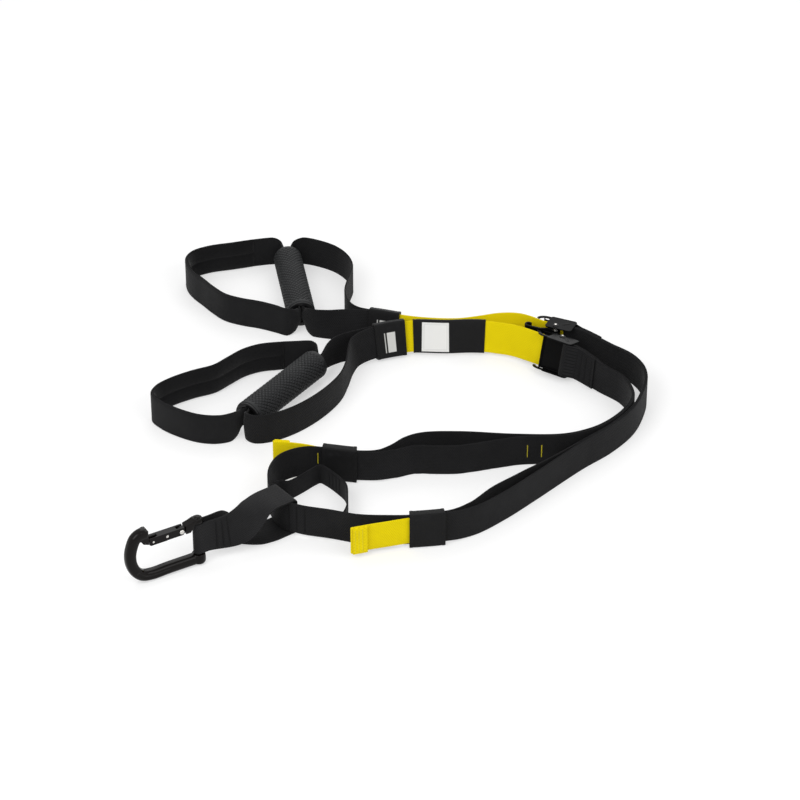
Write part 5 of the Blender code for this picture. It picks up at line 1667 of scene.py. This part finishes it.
@dataclass
class Handle:
    """The strap through a grip, its keeper, the foot cradle and the cradle's pad."""

    tag: str
    lower: Course
    grip: Grip
    rear: Rows
    front: Rows
    cradle_route: Rows
    sewing: Sewing
    straight: float = WEB_WIDTH * 0.12
    curl: float = 0.0042
    cradle_thick: float = 0.0026
    pad_thick: float = 0.003
    pad_inset: float = 0.001
    pad_share: Point2 = (0.17, 0.87)

    def mouth(self, sign: int, lateral: float, beyond: float) -> Row:
        """A route row on the grip's axis, this far beyond a mouth and this far to the strap's side.

        Args:
            sign: which mouth, 1 or -1, or 0 for the grip's middle.
            lateral: how far to the side.
            beyond: how far out of the mouth.

        Returns:
            The row, in metres.
        """
        grip = self.grip
        point = grip.middle + grip.along * sign * (grip.reach + beyond) + grip.triangle_side * lateral
        return (point.x, point.y, 0, 0, 1)

    def cup(self, foot: Vector) -> float:
        """How far a strap's edges curl over: much outside the tube, little in it."""
        far = abs((foot - self.grip.middle).dot(self.grip.along)) - self.grip.reach
        return self.curl * min(max(0.22 + far / 0.008, 0.22), 1)

    def build(self) -> None:
        """Make the keeper, the handle strap, the cradle and its pad."""
        lower, tag = self.lower, self.tag
        end = lower.length
        start = end - HANDLE_KEEPER_LENGTH
        sleeve = Sleeve(f"handle_sleeve_{tag}", lower, start, end, THREE_STRAPS)
        sleeve.build(Finish.PATCHED_SLEEVE, f"handle_keeper_{tag}")
        sew_sleeve(self.sewing, sleeve)
        held = lower.between(start, end)
        half_lap = LAP / 2
        steps = (self.straight, self.straight * 0.5, 0.0, -self.straight)
        rows = [lower.row_on(s, -LAP) for s in (start, end)] + on_table(self.rear, -1)
        rows += [self.mouth(1, half_lap, d) for d in steps] + [self.mouth(0, half_lap, 0)]
        rows += [self.mouth(-1, half_lap, d) for d in steps[::-1]] + on_table(self.front)
        rows += [lower.row_on(s, LAP, -1) for s in (end, start)]
        course = Course(rows)
        first = course.nearest(rows[1])
        last = course.nearest(rows[-2])
        cuts = [cut_at(lower, s, -LAP, along=s - end) for s in held]
        for s in course.stations(first, last)[1:-1]:
            cut = cut_at(course, s, along=s - first)
            cuts.append(replace(cut, cup=course.place(s).pinch * self.cup(cut.foot)))
        cuts += [cut_at(lower, s, LAP, along=last - first + end - s) for s in held[::-1]]
        ribbon(f"handle_webbing_{tag}", cuts, Finish.BLACK_WEBBING, f"handle_strap_{tag}")
        self.build_cradle(half_lap)

    def build_cradle(self, half_lap: float) -> None:
        """Make the foot cradle, a flat padded loop with a crowned pad inside.

        Args:
            half_lap: half the distance between two straps that lie together.
        """
        tuck = self.grip.reach * 0.22
        outward = (-tuck, -self.straight, 0.0, self.straight * 0.5, self.straight)
        rows = [self.mouth(1, -half_lap, d) for d in outward] + on_table(self.cradle_route)
        rows += [self.mouth(-1, -half_lap, d) for d in outward[::-1]]
        loop = Course(rows)
        marks = loop.stations(0, loop.length, 0.0036)
        taper = WEB_WIDTH * 1.3
        cuts = []
        for s in marks:
            edge = min(max(min(s, loop.length - s) / taper - 0.6, 0), 1)
            cut = cut_at(loop, s, thick=WEB_THICK + (self.cradle_thick - WEB_THICK) * edge)
            cuts.append(replace(cut, cup=loop.place(s).pinch * self.cup(cut.foot)))
        ribbon(f"cradle_{self.tag}", cuts, Finish.CRADLE_FABRIC, f"foot_cradle_{self.tag}")
        low, high = (loop.length * share for share in self.pad_share)
        pad = dress(f"pad_{self.tag}", self.pad(loop, loop.stations(low, high, 0.0024)), Finish.PAD_FABRIC,
                    "webbing", f"cradle_pad_{self.tag}", smooth=75.0)
        seam = [s for s in marks if low - 0.004 < s < high + 0.004]
        for y in (0.0032, WEB_WIDTH - 0.0032):
            line = [loop.place(s).at(-self.cradle_thick / 2, y) for s in seam]
            self.sewing.row(f"cradle_{self.tag}_stitches", Finish.BLACK_THREAD, line)

    def pad(self, loop: Course, marks: Sequence[float]) -> Mesh:
        """Make the pad: two soft lobes along the strap, parted by a sewn channel, closed at both ends.

        Args:
            loop: the cradle's course.
            marks: the stations along the pad.

        Returns:
            The pad's mesh.
        """
        base = self.cradle_thick / 2 + LAP_GAP
        low, high = self.pad_inset, WEB_WIDTH - self.pad_inset
        count = 18
        rings, waves = [], []
        for s in marks:
            place = loop.place(s)
            ending = min(s - marks[0], marks[-1] - s) / 0.015
            full = sqrt(max(1 - max(1 - ending, 0) ** 2, 0.02))
            pull = 1 - 0.05 * cos(tau * s / 0.0085)
            ring = [place.at(base, high - 0.0008), place.at(base, low + 0.0008)]
            vs = [-(high - low), 0.0]
            for k in range(count + 1):
                t = k / count
                lobe = abs(sin(tau * t)) ** 0.6
                depth = self.pad_thick * (0.3 + 0.82 * lobe * pull) * full
                ring.append(place.at(base + depth, low + (high - low) * t))
                vs.append((high - low) * t)
            rings.append(ring)
            waves.append((vs + [high - low], s))
        line = [loop.place(s).at(base + self.pad_thick * 0.27, low + (high - low) * 0.5) for s in marks[2:-2]]
        self.sewing.row(f"cradle_{self.tag}_stitches", Finish.BLACK_THREAD, line, 0.0042)
        return skin(rings, waves)


@dataclass
class LockingLoop:
    """The narrow strap that ties the two legs together below the anchor."""

    main: Course
    sewing: Sewing

    def build(self) -> None:
        """Make the strap and its row of bar tacks."""
        begin, close = (self.main.nearest(plan(spot)) for spot in (LOCK_START_SPOT, LOCK_END_SPOT))
        start = self.main.between(begin + LOCK_WIDTH / 2, begin)
        end = self.main.between(close + LOCK_WIDTH / 2, close)
        course = Course([self.main.row_on(s, LAP, -1) for s in (start[0], start[-1])]
                        + on_table(LOCKING_ROUTE) + [self.main.row_on(s, LAP, -1) for s in (end[0], end[-1])])
        first = course.nearest(self.main.place(start[-1]).at(LAP, 0))
        last = course.nearest(self.main.place(end[0]).at(LAP, 0))
        cuts = [replace(cut_at(self.main, s, LAP, along=start[0] - s), high=LOCK_WIDTH) for s in start]
        cuts += [cut_at(course, s, full=LOCK_WIDTH, along=s - first + LOCK_WIDTH / 2)
                 for s in course.stations(first, last)[1:-1]]
        cuts += [replace(cut_at(self.main, s, LAP, along=last - first + end[0] - s), high=LOCK_WIDTH)
                 for s in end]
        ribbon("narrow_loop", cuts, Finish.NARROW_WEBBING, "locking_loop", 6)
        around = course.nearest(plan((-0.81, -1.74)))
        for step in range(4):
            place = course.place(around + 0.006 + step * 0.0062)
            for face in (-WEB_THICK / 2, WEB_THICK / 2):
                self.sewing.bar(Finish.BLACK_THREAD, place, face, (0.002, LOCK_WIDTH - 0.002))


@dataclass
class AnchorLoop:
    """The closed loop from the carabiner's bar round the folded main strap, with a quarter turn between."""

    sewing: Sewing
    low_boss: float = 0.013
    high_boss: float = 0.0525
    captive: float = 0.0034

    def build(self) -> None:
        """Make the loop and its tacks near the bar."""
        bar, crossing = plan(BAR_SPOT), plan(CROSSING_SPOT)
        travel = (crossing - bar).normalized()
        near = Vector((travel.y, -travel.x, 0))
        run = (crossing - bar).length
        bar_middle = (self.low_boss + self.high_boss) / 2
        low_layer = WEB_THICK / 2 + LAP_GAP
        high_layer = SLEEVE_LIFT * 1.2 + WEB_WIDTH + LAP_GAP * 2 + WEB_THICK / 2
        cross_middle, cross_half = (low_layer + high_layer) / 2, (high_layer - low_layer) / 2
        wrap = self.captive + LAP_GAP + WEB_THICK / 2
        past = WEB_WIDTH * 0.42
        table = [(0.0, 0.0, 0.0), (0.16, 0.03, 0.03), (0.34, 0.16, 0.18), (0.5, 0.42, 0.42),
                 (0.66, 0.76, 0.72), (0.8, 0.96, 0.92), (0.9, 1.0, 1.0), (1.0, 1.0, 1.0)]
        rows = blend_rows(table, 5)

        def layer(sign: int, share: float, turn: float, opening: float) -> tuple[Vector, Vector, Vector]:
            """The middle, outward side and width of one of the loop's two layers.

            Args:
                sign: 1 or -1, for the near layer or the far one.
                share: how far along, from the bar.
                turn: how much of the quarter turn is made.
                opening: how far the layers are apart.

            Returns:
                The three vectors.
            """
            angle = pi / 2 * turn
            middle = bar_middle + (cross_middle - bar_middle) * min(max(share - 0.1, 0) * 1.6, 1)
            outward = (near * cos(angle) + UP * sin(angle)) * sign
            width = UP * cos(angle) - near * sin(angle)
            radius = wrap + (cross_half - wrap) * opening
            return bar + travel * run * share + UP * middle + outward * radius, outward, width

        stations = [layer(1, *row) for row in rows]
        corner = past * 0.25
        for height, turn in ((high_layer - corner, 90), (low_layer + corner, 0)):
            for k in range(7):
                angle = radians(turn - 15 * k)
                out = travel * cos(angle) + UP * sin(angle)
                centre = crossing + travel * (past - corner) + UP * height + out * corner
                stations.append((centre, out, -near))
        stations += [layer(-1, *row) for row in rows[::-1]]
        for k in range(1, 22):
            angle = pi * k / 22
            outward = -near * cos(angle) - travel * sin(angle)
            stations.append((bar + UP * bar_middle + outward * wrap, outward, UP))
        tall, along, cuts = WEB_WIDTH / 2, 0.0, []
        for i, (centre, out, width) in enumerate(stations):
            along += (centre - stations[i - 1][0]).length if i else 0
            cuts.append(Cut(centre - width * tall, out, width, along))
        ribbon("anchor_webbing_loop", cuts, Finish.ANCHOR_WEBBING, "anchor_loop", closed=True)
        for sign in (1, -1):
            for share in (0.2, 0.265, 0.33):
                row = min(rows, key=lambda r: abs(r[0] - share))
                centre, out, width = layer(sign, *row)
                face = centre + out * WEB_THICK / 2
                self.sewing.tack("strap_stitches", Finish.BLACK_THREAD, face - width * 0.0165,
                                 face + width * 0.0165, travel)


@dataclass
class CamBuckle:
    """A cam buckle at the end of a leg: stamped frame, toothed lever, pin and return spring."""

    leg: Leg
    bar_radius: float = 0.003
    cheek: float = 0.0016
    plate: float = 0.0016
    nose: float = 0.027
    tail: float = 0.006
    corner: float = 0.0035
    arm: float = 0.005
    reach: float = 0.015
    cam_radius: float = 0.0056
    cam_clear: float = 0.0006
    pin_radius: float = 0.0022
    pin_head: float = 0.0036
    head_thick: float = 0.0011
    lever_length: float = 0.032
    lever_rise: float = 0.0082
    lever_thick: float = 0.0024
    lever_curl: float = 0.0034
    horn: Points = ((0.02, -0.004), (0.028, -0.0052), (0.034, -0.0048), (0.0385, -0.0026), (0.0405, 0.0006))
    horn_thick: float = 0.0036
    tooth: float = 0.0007
    wire: float = 0.0004
    turns: int = 3

    def __post_init__(self) -> None:
        """Find the buckle's own frame: x to the handle, y across the face, z up the width."""
        place, forward = self.leg.buckle_place()
        self.frame = frame_at(place.foot, forward, place.side, place.rise)
        self.low, self.high = -LAP_GAP, WEB_WIDTH + LAP_GAP
        self.cam_y = LAP + WEB_THICK / 2 + self.cam_clear + self.cam_radius
        self.wrap = self.bar_radius + LAP_GAP + WEB_THICK / 2
        self.pin_spot = Matrix.Translation((self.reach, self.cam_y, 0))

    def build(self) -> None:
        """Make the four pieces."""
        tag = self.leg.tag
        dress(f"buckle_frame_{tag}", self.frame_mesh(), Finish.BUCKLE_PAINT, "webbing", f"cam_frame_{tag}",
              smooth=180)
        dress(f"buckle_lever_{tag}", self.lever_mesh(), Finish.BUCKLE_PAINT, f"lever_{tag}",
              f"cam_lever_{tag}", smooth=180)
        dress(f"buckle_pin_{tag}", self.pin_mesh(), Finish.BLACK_PIN, "webbing", f"cam_pin_{tag}", smooth=45)
        dress(f"buckle_pin_ends_{tag}", self.pin_ends(), Finish.PIN_STEEL, "webbing", smooth=45)
        dress(f"buckle_spring_{tag}", self.spring_mesh(), Finish.SPRING_STEEL, "webbing", f"cam_spring_{tag}",
              smooth=60)

    def frame_mesh(self) -> Mesh:
        """The frame: two cheeks with pressed beads, the back plate with its curled end, and the bar.

        Returns:
            The mesh, in place.
        """
        low, high, t = self.low, self.high, self.cheek
        x0, x1, r = -self.tail, self.nose, self.corner
        y0, y1 = -self.wrap - self.bar_radius - t, self.cam_y + self.cam_radius
        outline = (arc((x1 - r, y1 - r), r, 0, 90, 8) + arc((x0 + r, y1 - r), r, 90, 180, 8)
                   + arc((x0 + r, y0 + r), r, 180, 270, 8) + arc((x1 - r, y0 + r), r, 270, 360, 8))
        mid = LAP - WEB_THICK / 2 - LAP_GAP - self.plate / 2
        begin = self.wrap + WEB_THICK / 2 + self.cam_clear
        tip = self.nose + self.arm
        line = [(begin, mid), (self.nose * 0.9, mid), (tip - self.plate, mid), (tip, mid - self.plate * 0.4),
                (tip + self.plate * 0.8, mid - self.plate * 1.5)]
        into = t * 0.5
        horn = thick_line(blend_rows(self.horn, 4), self.horn_thick)
        shapes = [prism(outline, low - t, low), prism(outline, high, high + t), prism(horn, low - t, low),
                  prism(horn, high, high + t), prism(thick_line(line, self.plate), low - into, high + into),
                  turned([(self.bar_radius, low - into), (self.bar_radius, high + into)],
                         Matrix.Translation((0, -self.wrap, 0)), 32)]
        bead = [(self.tail * 0.2, -0.001), (self.reach - self.pin_head * 1.9, self.cam_y * 0.5)]
        for a, b in ((low - t - 0.0006, low - t + 0.0003), (high + t + 0.0003, high + t + 0.0003)):
            shapes.append(prism(thick_line(bead, 0.0022), a, b))
        for a, b in ((low - t - 0.0002, low), (high, high + t + 0.0002)):
            shapes.append(turned([(self.pin_head * 1.05, a), (self.pin_head * 1.05, b)], self.pin_spot, 32))
        return melt(shapes, [], self.frame, 0.00036, 4)

    def lever_mesh(self) -> Mesh:
        """The lever: a toothed cam on the pin and a thumb plate that ends in an open curl.

        Returns:
            The mesh, in place.
        """
        room = (self.wire * 2 + LAP_GAP * 1.5) * (self.turns + 0.5) + self.wire * 2
        low, high = self.low + LAP_GAP, self.high - LAP_GAP - room
        teeth = []
        for k in range(96):
            angle = tau * k / 96
            cutting = cos(angle + radians(70)) > 0.45
            dent = self.tooth * (0.5 - 0.5 * cos(angle * 18)) if cutting else 0
            radius = self.cam_radius - dent
            teeth.append((self.reach + radius * cos(angle), self.cam_y + radius * sin(angle)))
        tip_x, tip_y = self.reach + self.lever_length, self.cam_y + self.lever_rise
        curl = arc((tip_x, tip_y - self.lever_curl), self.lever_curl, 90, -130, 20)
        root = self.cam_radius * 0.78
        knots = [(self.reach + root * 0.4, self.cam_y + root * 0.9),
                 (self.reach + root * 1.6, self.cam_y + root), (self.reach + self.lever_length * 0.5, tip_y),
                 (tip_x - 0.002, tip_y)]
        line = blend_rows(knots, 5) + curl
        shapes = [prism(teeth, low, high),
                  prism(thick_line(line, self.lever_thick), low + self.corner, self.high - LAP_GAP * 3)]
        across = (low + high) / 2
        for k in range(3):
            x = self.reach + self.lever_length * (0.52 + 0.14 * k)
            shapes.append(prism(arc((x, tip_y + self.lever_thick * 0.42), 0.0008, 0, 315, 7), across - 0.011,
                                across + 0.011))
        return melt(shapes, [], self.frame, 0.00036, 4)

    def pin_mesh(self) -> Mesh:
        """The pin, with a domed head on each side.

        Returns:
            The mesh, in place.
        """
        out = self.cheek + LAP_GAP
        dome = [(self.pin_head * cos(pi / 2 * k / 6),
                 self.head_thick * sin(pi / 2 * k / 6)) for k in range(6)]
        rows = [(r, self.low - out - 0.0003 - z * 0.8) for r, z in dome[::-1]]
        rows += [(self.pin_head, self.low - out), (self.pin_radius, self.low - out)]
        rows += [(self.pin_radius, self.high + out), (self.pin_head, self.high + out)]
        rows += [(r, self.high + out + 0.0003 + z * 0.8) for r, z in dome]
        return set_in(turned(rows, self.pin_spot, 32), self.frame)

    def pin_ends(self) -> Mesh:
        """The bare, peened ends of the pin in the middle of its heads.

        Returns:
            The mesh, in place.
        """
        out = self.cheek + LAP_GAP + 0.0003
        ends = bmesh.new()
        for face, way in ((self.low - out - self.head_thick * 0.8, -1),
                          (self.high + out + self.head_thick, 1)):
            peen = 0.0005 if way > 0 else -0.0001
            rows = [(0.0015, face - way * 0.0003), (0.0014, face + peen * 0.6), (0.0008, face + peen)]
            ends.from_mesh(turned(rows[::way], self.pin_spot, 20))
        mesh = bpy.data.meshes.new("pin_ends")
        ends.to_mesh(mesh)
        ends.free()
        return set_in(mesh, self.frame)

    def spring_mesh(self) -> Mesh:
        """The return spring, a coil of round wire on the pin above the lever.

        Returns:
            The mesh, in place.
        """
        pitch = self.wire * 2 + LAP_GAP * 1.5
        room = pitch * (self.turns + 0.5) + self.wire * 2
        base = self.high - LAP_GAP - room + LAP_GAP + self.wire
        radius = self.pin_radius + LAP_GAP + self.wire
        rings = []
        for k in range(self.turns * 28 + 1):
            angle = tau * k / 28
            out = Vector((cos(angle), sin(angle), 0))
            centre = Vector((self.reach, self.cam_y, base + pitch * k / 28)) + out * radius
            rings.append([self.frame @ (centre + (out * cos(a) + UP * sin(a)) * self.wire)
                          for a in (tau * j / 8 for j in range(8))])
        return solid(rings)


@dataclass
class Carabiner:
    """The forged carabiner on its spine: body, hinge arm, captive bar, gate and the small pins in them."""

    thick: float = 0.012
    deep: float = 0.0125
    captive: float = 0.0034
    boss: float = 0.0078
    low_boss: float = 0.013
    high_boss: float = 0.0525
    high_boss_thick: float = 0.006
    gate_thick: float = 0.009
    gate_deep: float = 0.0092
    slot: float = 0.0046
    tongue: float = 0.0038
    rivet: float = 0.0019
    latch: float = 0.0012
    head: float = 0.0011
    voxel: float = 0.0004

    def __post_init__(self) -> None:
        """Find the carabiner's own frame: x from the bar to the nose, y up, z through the thickness."""
        inward = Vector((-cos(CARABINER_ANGLE), -sin(CARABINER_ANGLE), 0))
        self.frame = frame_at(plan(BAR_SPOT), inward, UP, inward.cross(UP))
        self.bar_frame = frame_at(
            Vector((0, self.low_boss, 0)), Vector((1, 0, 0)), Vector((0, 0, -1)), Vector((0, 1, 0)))
        self.pivot, self.latch_spot = self.scaled([PIVOT_SPOT, LATCH_SPOT])

    @staticmethod
    def scaled(points: Points) -> list[Point2]:
        """Points in metres from points in grid squares."""
        return [(x * GRID, y * GRID) for x, y in points]

    def rod(self) -> Mesh:
        """The bent rod of the spine and the nose, a soft square in section.

        Returns:
            The rod, in the carabiner's own frame.
        """
        line = blend_rows(self.scaled(SPINE_LINE), 7)
        rings = []
        for i, p in enumerate(line):
            a, b = line[max(i - 1, 0)], line[min(i + 1, len(line) - 1)]
            along = Vector((b[0] - a[0], b[1] - a[1], 0)).normalized()
            across = Vector((-along.y, along.x, 0))
            ring = []
            for k in range(28):
                angle = tau * (k + 0.5) / 28
                u, v = cos(angle), sin(angle)
                u = copysign(abs(u) ** 0.75, u) * self.deep / 2
                v = copysign(abs(v) ** 0.75, v) * self.thick / 2
                ring.append(Vector((p[0], p[1], 0)) + across * u + Vector((0, 0, v)))
            rings.append(ring)
        return solid(rings)

    def grooves(self) -> list[Mesh]:
        """The shallow forged channel along each flank of the spine.

        Returns:
            The two shapes to cut away.
        """
        line = blend_rows(self.scaled(SPINE_LINE)[2:6], 6)
        half = self.thick / 2
        return [prism(thick_line(line, 0.0034), *sorted((side * (half - 0.0007), side * (half + 0.002))))
                for side in (1, -1)]

    def build(self) -> None:
        """Make every piece of the carabiner."""
        half, tongue = self.thick / 2, self.tongue / 2
        tall = self.high_boss - self.low_boss
        foot, top = self.low_boss * 0.94, tall + self.high_boss_thick
        low_boss = turned([(self.boss * 0.62, -foot), (self.boss * 0.9, -foot * 0.9),
                           (self.boss, -foot * 0.72), (self.boss, -foot * 0.35),
                           (self.boss * 0.95, -foot * 0.1), (self.boss * 0.88, 0)], self.bar_frame, 40)
        high_boss = turned([(self.boss * 0.7, tall), (self.boss * 0.8, tall + self.high_boss_thick * 0.2),
                            (self.boss * 0.82, tall + self.high_boss_thick * 0.5), (self.boss * 0.66, top)],
                           self.bar_frame, 40)
        body = [self.rod(), low_boss, prism(self.scaled(NOSE_OUTLINE), -half * 0.9, half * 0.9),
                prism(self.scaled(HOOK_OUTLINE), -tongue, tongue)]
        self.part("forged_body", melt(body, self.grooves(), self.frame, self.voxel, 5), "carabiner_body",
                  smooth=180)
        eye_radius = self.gate_deep * 0.42
        root = self.pivot[0] - eye_radius * 1.7
        eye = arc(self.pivot, eye_radius, -90, 90, 16)
        eye += [(root, self.pivot[1] + eye_radius), (root, self.pivot[1] - eye_radius)]
        arm = [high_boss, prism(self.scaled(ARM_OUTLINE), -half * 0.85, half * 0.85),
               prism(eye, -tongue, tongue)]
        self.part("forged_hinge_arm", melt(arm, [], self.frame, self.voxel, 5), "carabiner_hinge_arm",
                  smooth=180)
        self.build_bar(tall, foot, top)
        self.build_gate(eye_radius)

    def part(self, name: str, mesh: Mesh, *nodes: str, finish: Finish = Finish.CARABINER_COAT,
             body: str = "carabiner", smooth: float = 45.0) -> None:
        """Dress one part of the carabiner."""
        dress(name, mesh, finish, body, *nodes, smooth=smooth)

    def pin(self, name: str, rows: Points, spot: Matrix, sides: int, *nodes: str,
            bore: float | None = None, finish: Finish = Finish.PIN_STEEL, body: str = "gate") -> None:
        """Turn one part about the axis at a spot of the carabiner's own frame, and dress it."""
        mesh = set_in(turned(rows, spot, sides, bore=bore), self.frame)
        self.part(name, mesh, *nodes, finish=finish, body=body)

    def build_bar(self, tall: float, foot: float, top: float) -> None:
        """Make the captive bar, riveted over above the hinge arm.

        Args:
            tall: from the lower boss to the upper one.
            foot: the lower boss's height.
            top: the upper boss's top.
        """
        pin = self.captive * 0.8 - LAP_GAP
        rows = [(pin, LAP_GAP - foot * 0.7), (pin, LAP_GAP), (self.captive * 0.93, LAP_GAP),
                (self.captive, LAP_GAP + 0.0004), (self.captive, tall - LAP_GAP - 0.0004),
                (self.captive * 0.93, tall - LAP_GAP), (pin, tall - LAP_GAP), (pin, top + LAP_GAP)]
        rows += [(pin * 1.5, top + LAP_GAP), (pin * 1.45, top + self.head * 0.7),
                 (pin * 1.2, top + self.head * 1.1), (pin * 0.7, top + self.head * 1.35)]
        self.pin("captive_bar_pin", rows, self.bar_frame, 36, "captive_bar",
                 finish=Finish.CARABINER_COAT, body="carabiner")

    def build_gate(self, eye_radius: float) -> None:
        """Make the gate with its slots, its latch pin, plunger, spring and the rivet that it turns on.

        Args:
            eye_radius: the radius of the eye that the gate turns on.
        """
        half, slot = self.gate_thick / 2, self.slot / 2
        spring_start, spring_end = self.scaled([(0.325, 0.44)])[0]
        plunger = self.latch * 1.25
        spot = Matrix.Translation((0, self.pivot[1], 0)) @ Matrix.Rotation(pi / 2, 4, "Y")
        box = [(0.1, 0.3), (0.258, 0.3), (0.258, 0.7), (0.1, 0.7)]
        hook = [(0.488, 0.506), (0.7, 0.506), (0.7, 0.7), (0.488, 0.7)]
        recess = Matrix.Translation((*self.scaled([(0.375, 0.497)])[0], 0))
        holes = [prism(self.scaled(box), -slot, slot), prism(self.scaled(hook), -slot, slot)]
        for side in (1, -1):
            ends = sorted((side * (half - 0.0009), side * (half + 0.002)))
            holes.append(turned([(0.0024, ends[0]), (0.0024, ends[1])], recess, 32))
        shell = prism(self.scaled(GATE_OUTLINE), -half, half)
        mesh = melt([shell], holes, self.frame, 0.00034, 4)
        self.part("gate_shell", mesh, "carabiner_gate", body="gate", smooth=180)
        head, reach = self.rivet * 1.45, half + LAP_GAP
        dome = [(head, 0.0), (head * 0.97, 0.00035), (head * 0.8, 0.0007), (head * 0.45, 0.00095)]
        rows = [(r, -reach - z) for r, z in dome[::-1]] + [(self.rivet, -reach), (self.rivet, reach)]
        rows += [(r, reach + z) for r, z in dome]
        self.pin("hinge_rivet", rows, Matrix.Translation((*self.pivot, 0)), 32, "gate_rivet",
                 body="carabiner")
        rows = [(self.latch * 0.8, -half - 0.0002), (self.latch, -half), (self.latch, half),
                (self.latch * 0.8, half + 0.0002)]
        self.pin("latch_pin", rows, Matrix.Translation((*self.latch_spot, 0)), 24, "gate_latch_pin")
        for side, word in ((1, "near"), (-1, "far")):
            ends = (side * (half - 0.0012), side * (half - 0.0003), side * (half - 0.0001))
            rows = [(0.0016, ends[0]), (0.0016, ends[1]), (0.0012, ends[2])]
            self.pin(f"plunger_plug_{word}", rows[::side], recess, 28)
        start = self.pivot[0] + eye_radius + LAP_GAP
        rows = [(plunger * 0.5, start), (plunger * 0.8, start + plunger * 0.1),
                (plunger, start + plunger * 0.4), (plunger, spring_start)]
        self.pin("plunger", rows, spot, 24, "gate_plunger")
        rows = [(plunger, spring_start + LAP_GAP), (plunger, spring_end)]
        self.pin("plunger_spring", rows, spot, 24, "gate_spring", bore=plunger * 0.5,
                 finish=Finish.SPRING_STEEL)


@dataclass
class Studio:
    """The pale floor, the soft light and the camera at the photograph's angle."""

    target: tuple[float, float, float] = (0.00215, 0.0248, 0.0)
    distance: float = 3.6
    tilt: float = radians(33)
    lens: float = 140.94

    def build(self) -> None:
        """Set the camera, the floor, the lamps and the world."""
        camera = bpy.data.cameras.new("camera")
        camera.lens, camera.sensor_width, camera.clip_end = self.lens, 36.0, 50.0
        eye = put("camera", camera)
        away = Vector((0, -cos(self.tilt), sin(self.tilt)))
        eye.location = Vector(self.target) + away * self.distance
        eye.rotation_euler = (pi / 2 - self.tilt, 0, 0)
        bpy.context.scene.camera = eye
        bpy.context.scene.view_settings.view_transform = "Standard"
        self.floor()
        for name, place, size, watts in (("key_light", (-1.2, -1.7, 2.0), 1.6, 34.0),
                                         ("fill_light", (1.6, -1.5, 1.6), 1.8, 19.0),
                                         ("back_light", (0.2, 2.0, 2.2), 2.0, 17.0)):
            lamp = bpy.data.lights.new(name, "AREA")
            lamp.shape, lamp.size, lamp.energy = "SQUARE", size, watts
            made = put(name, lamp)
            made.location = place
            made.rotation_euler = (Vector((0, 0, 0.02)) - Vector(place)).to_track_quat("-Z", "Y").to_euler()
        world = bpy.data.worlds.new("studio")
        bpy.context.scene.world = world
        world.use_nodes = True
        tree = world.node_tree
        tree.nodes.clear()
        path = add(tree, "ShaderNodeLightPath")
        room = add(tree, "ShaderNodeBackground", {"Color": (1, 1, 1, 1), "Strength": 0.5})
        seen = add(tree, "ShaderNodeBackground", {"Color": (1, 1, 1, 1), "Strength": 1.0})
        mix = add(tree, "ShaderNodeMixShader", {0: self.seen_rays(tree, path), 1: room, 2: seen})
        add(tree, "ShaderNodeOutputWorld", {0: mix})

    @staticmethod
    def seen_rays(tree: NodeTree, path: Node) -> Node:
        """The rays that see the background: the camera's, and those that gloss sends on.

        Args:
            tree: the shader tree.
            path: its light path node.

        Returns:
            The node that gives 1 for them.
        """
        both = add(tree, MATH, {0: path.outputs["Is Camera Ray"], 1: path.outputs["Is Glossy Ray"]},
                   operation="MAXIMUM")
        return add(tree, MATH, {0: both, 1: path.outputs["Is Transmission Ray"]}, operation="MAXIMUM")

    def floor(self) -> None:
        """Lay a pale floor that looks white and keeps the soft shadow."""
        mesh = bpy.data.meshes.new("floor")
        corners = [(-8, -8, -0.0004), (8, -8, -0.0004), (8, 8, -0.0004), (-8, 8, -0.0004)]
        mesh.from_pydata(corners, [], [(0, 1, 2, 3)])
        paper = bpy.data.materials.new("white_paper_sweep")
        paper.use_nodes = True
        tree = paper.node_tree
        tree.nodes.clear()
        path = add(tree, "ShaderNodeLightPath")
        plain = add(tree, "ShaderNodeBsdfDiffuse", {"Color": linear("#ececec")})
        lit = add(tree, "ShaderNodeBsdfDiffuse", {"Color": linear("#c6c6c6")})
        glow = add(tree, "ShaderNodeEmission", {"Color": (1, 1, 1, 1), "Strength": 0.5})
        white = add(tree, "ShaderNodeAddShader", {0: lit, 1: glow})
        mix = add(tree, "ShaderNodeMixShader", {0: self.seen_rays(tree, path), 1: plain, 2: white})
        add(tree, "ShaderNodeOutputMaterial", {0: mix})
        mesh.materials.append(paper)
        made = put("floor", mesh)


def main() -> None:
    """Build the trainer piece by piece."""
    logging.basicConfig(level=logging.INFO, format="%(name)s: %(message)s")
    sewing = Sewing()
    strap = MainStrap(sewing)
    strap.build()
    leg_a, leg_b = strap.legs
    lower_a = LowerStrap(leg_a, LOWER_A_ROUTE, sewing).build()
    lower_b = LowerStrap(leg_b, LOWER_B_ROUTE, sewing).build()
    Label(lower_a, sewing).build()
    for leg, route in ((leg_a, TAB_A_ROUTE), (leg_b, TAB_B_ROUTE)):
        SliderKeeper(leg, route, sewing).build()
        CamBuckle(leg).build()
    handles = (("a", lower_a, GRIP_A_ROUTE, REAR_A_ROUTE, FRONT_A_ROUTE, CRADLE_A_ROUTE),
               ("b", lower_b, GRIP_B_ROUTE, REAR_B_ROUTE, FRONT_B_ROUTE, CRADLE_B_ROUTE))
    for tag, lower, ends, rear, front, cradle in handles:
        grip = Grip(tag, ends)
        grip.build()
        Handle(tag, lower, grip, rear, front, cradle, sewing).build()
    LockingLoop(strap.course, sewing).build()
    AnchorLoop(sewing).build()
    Carabiner().build()
    sewing.build()
    Studio().build()
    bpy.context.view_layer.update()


if __name__ == "__main__":
    main()
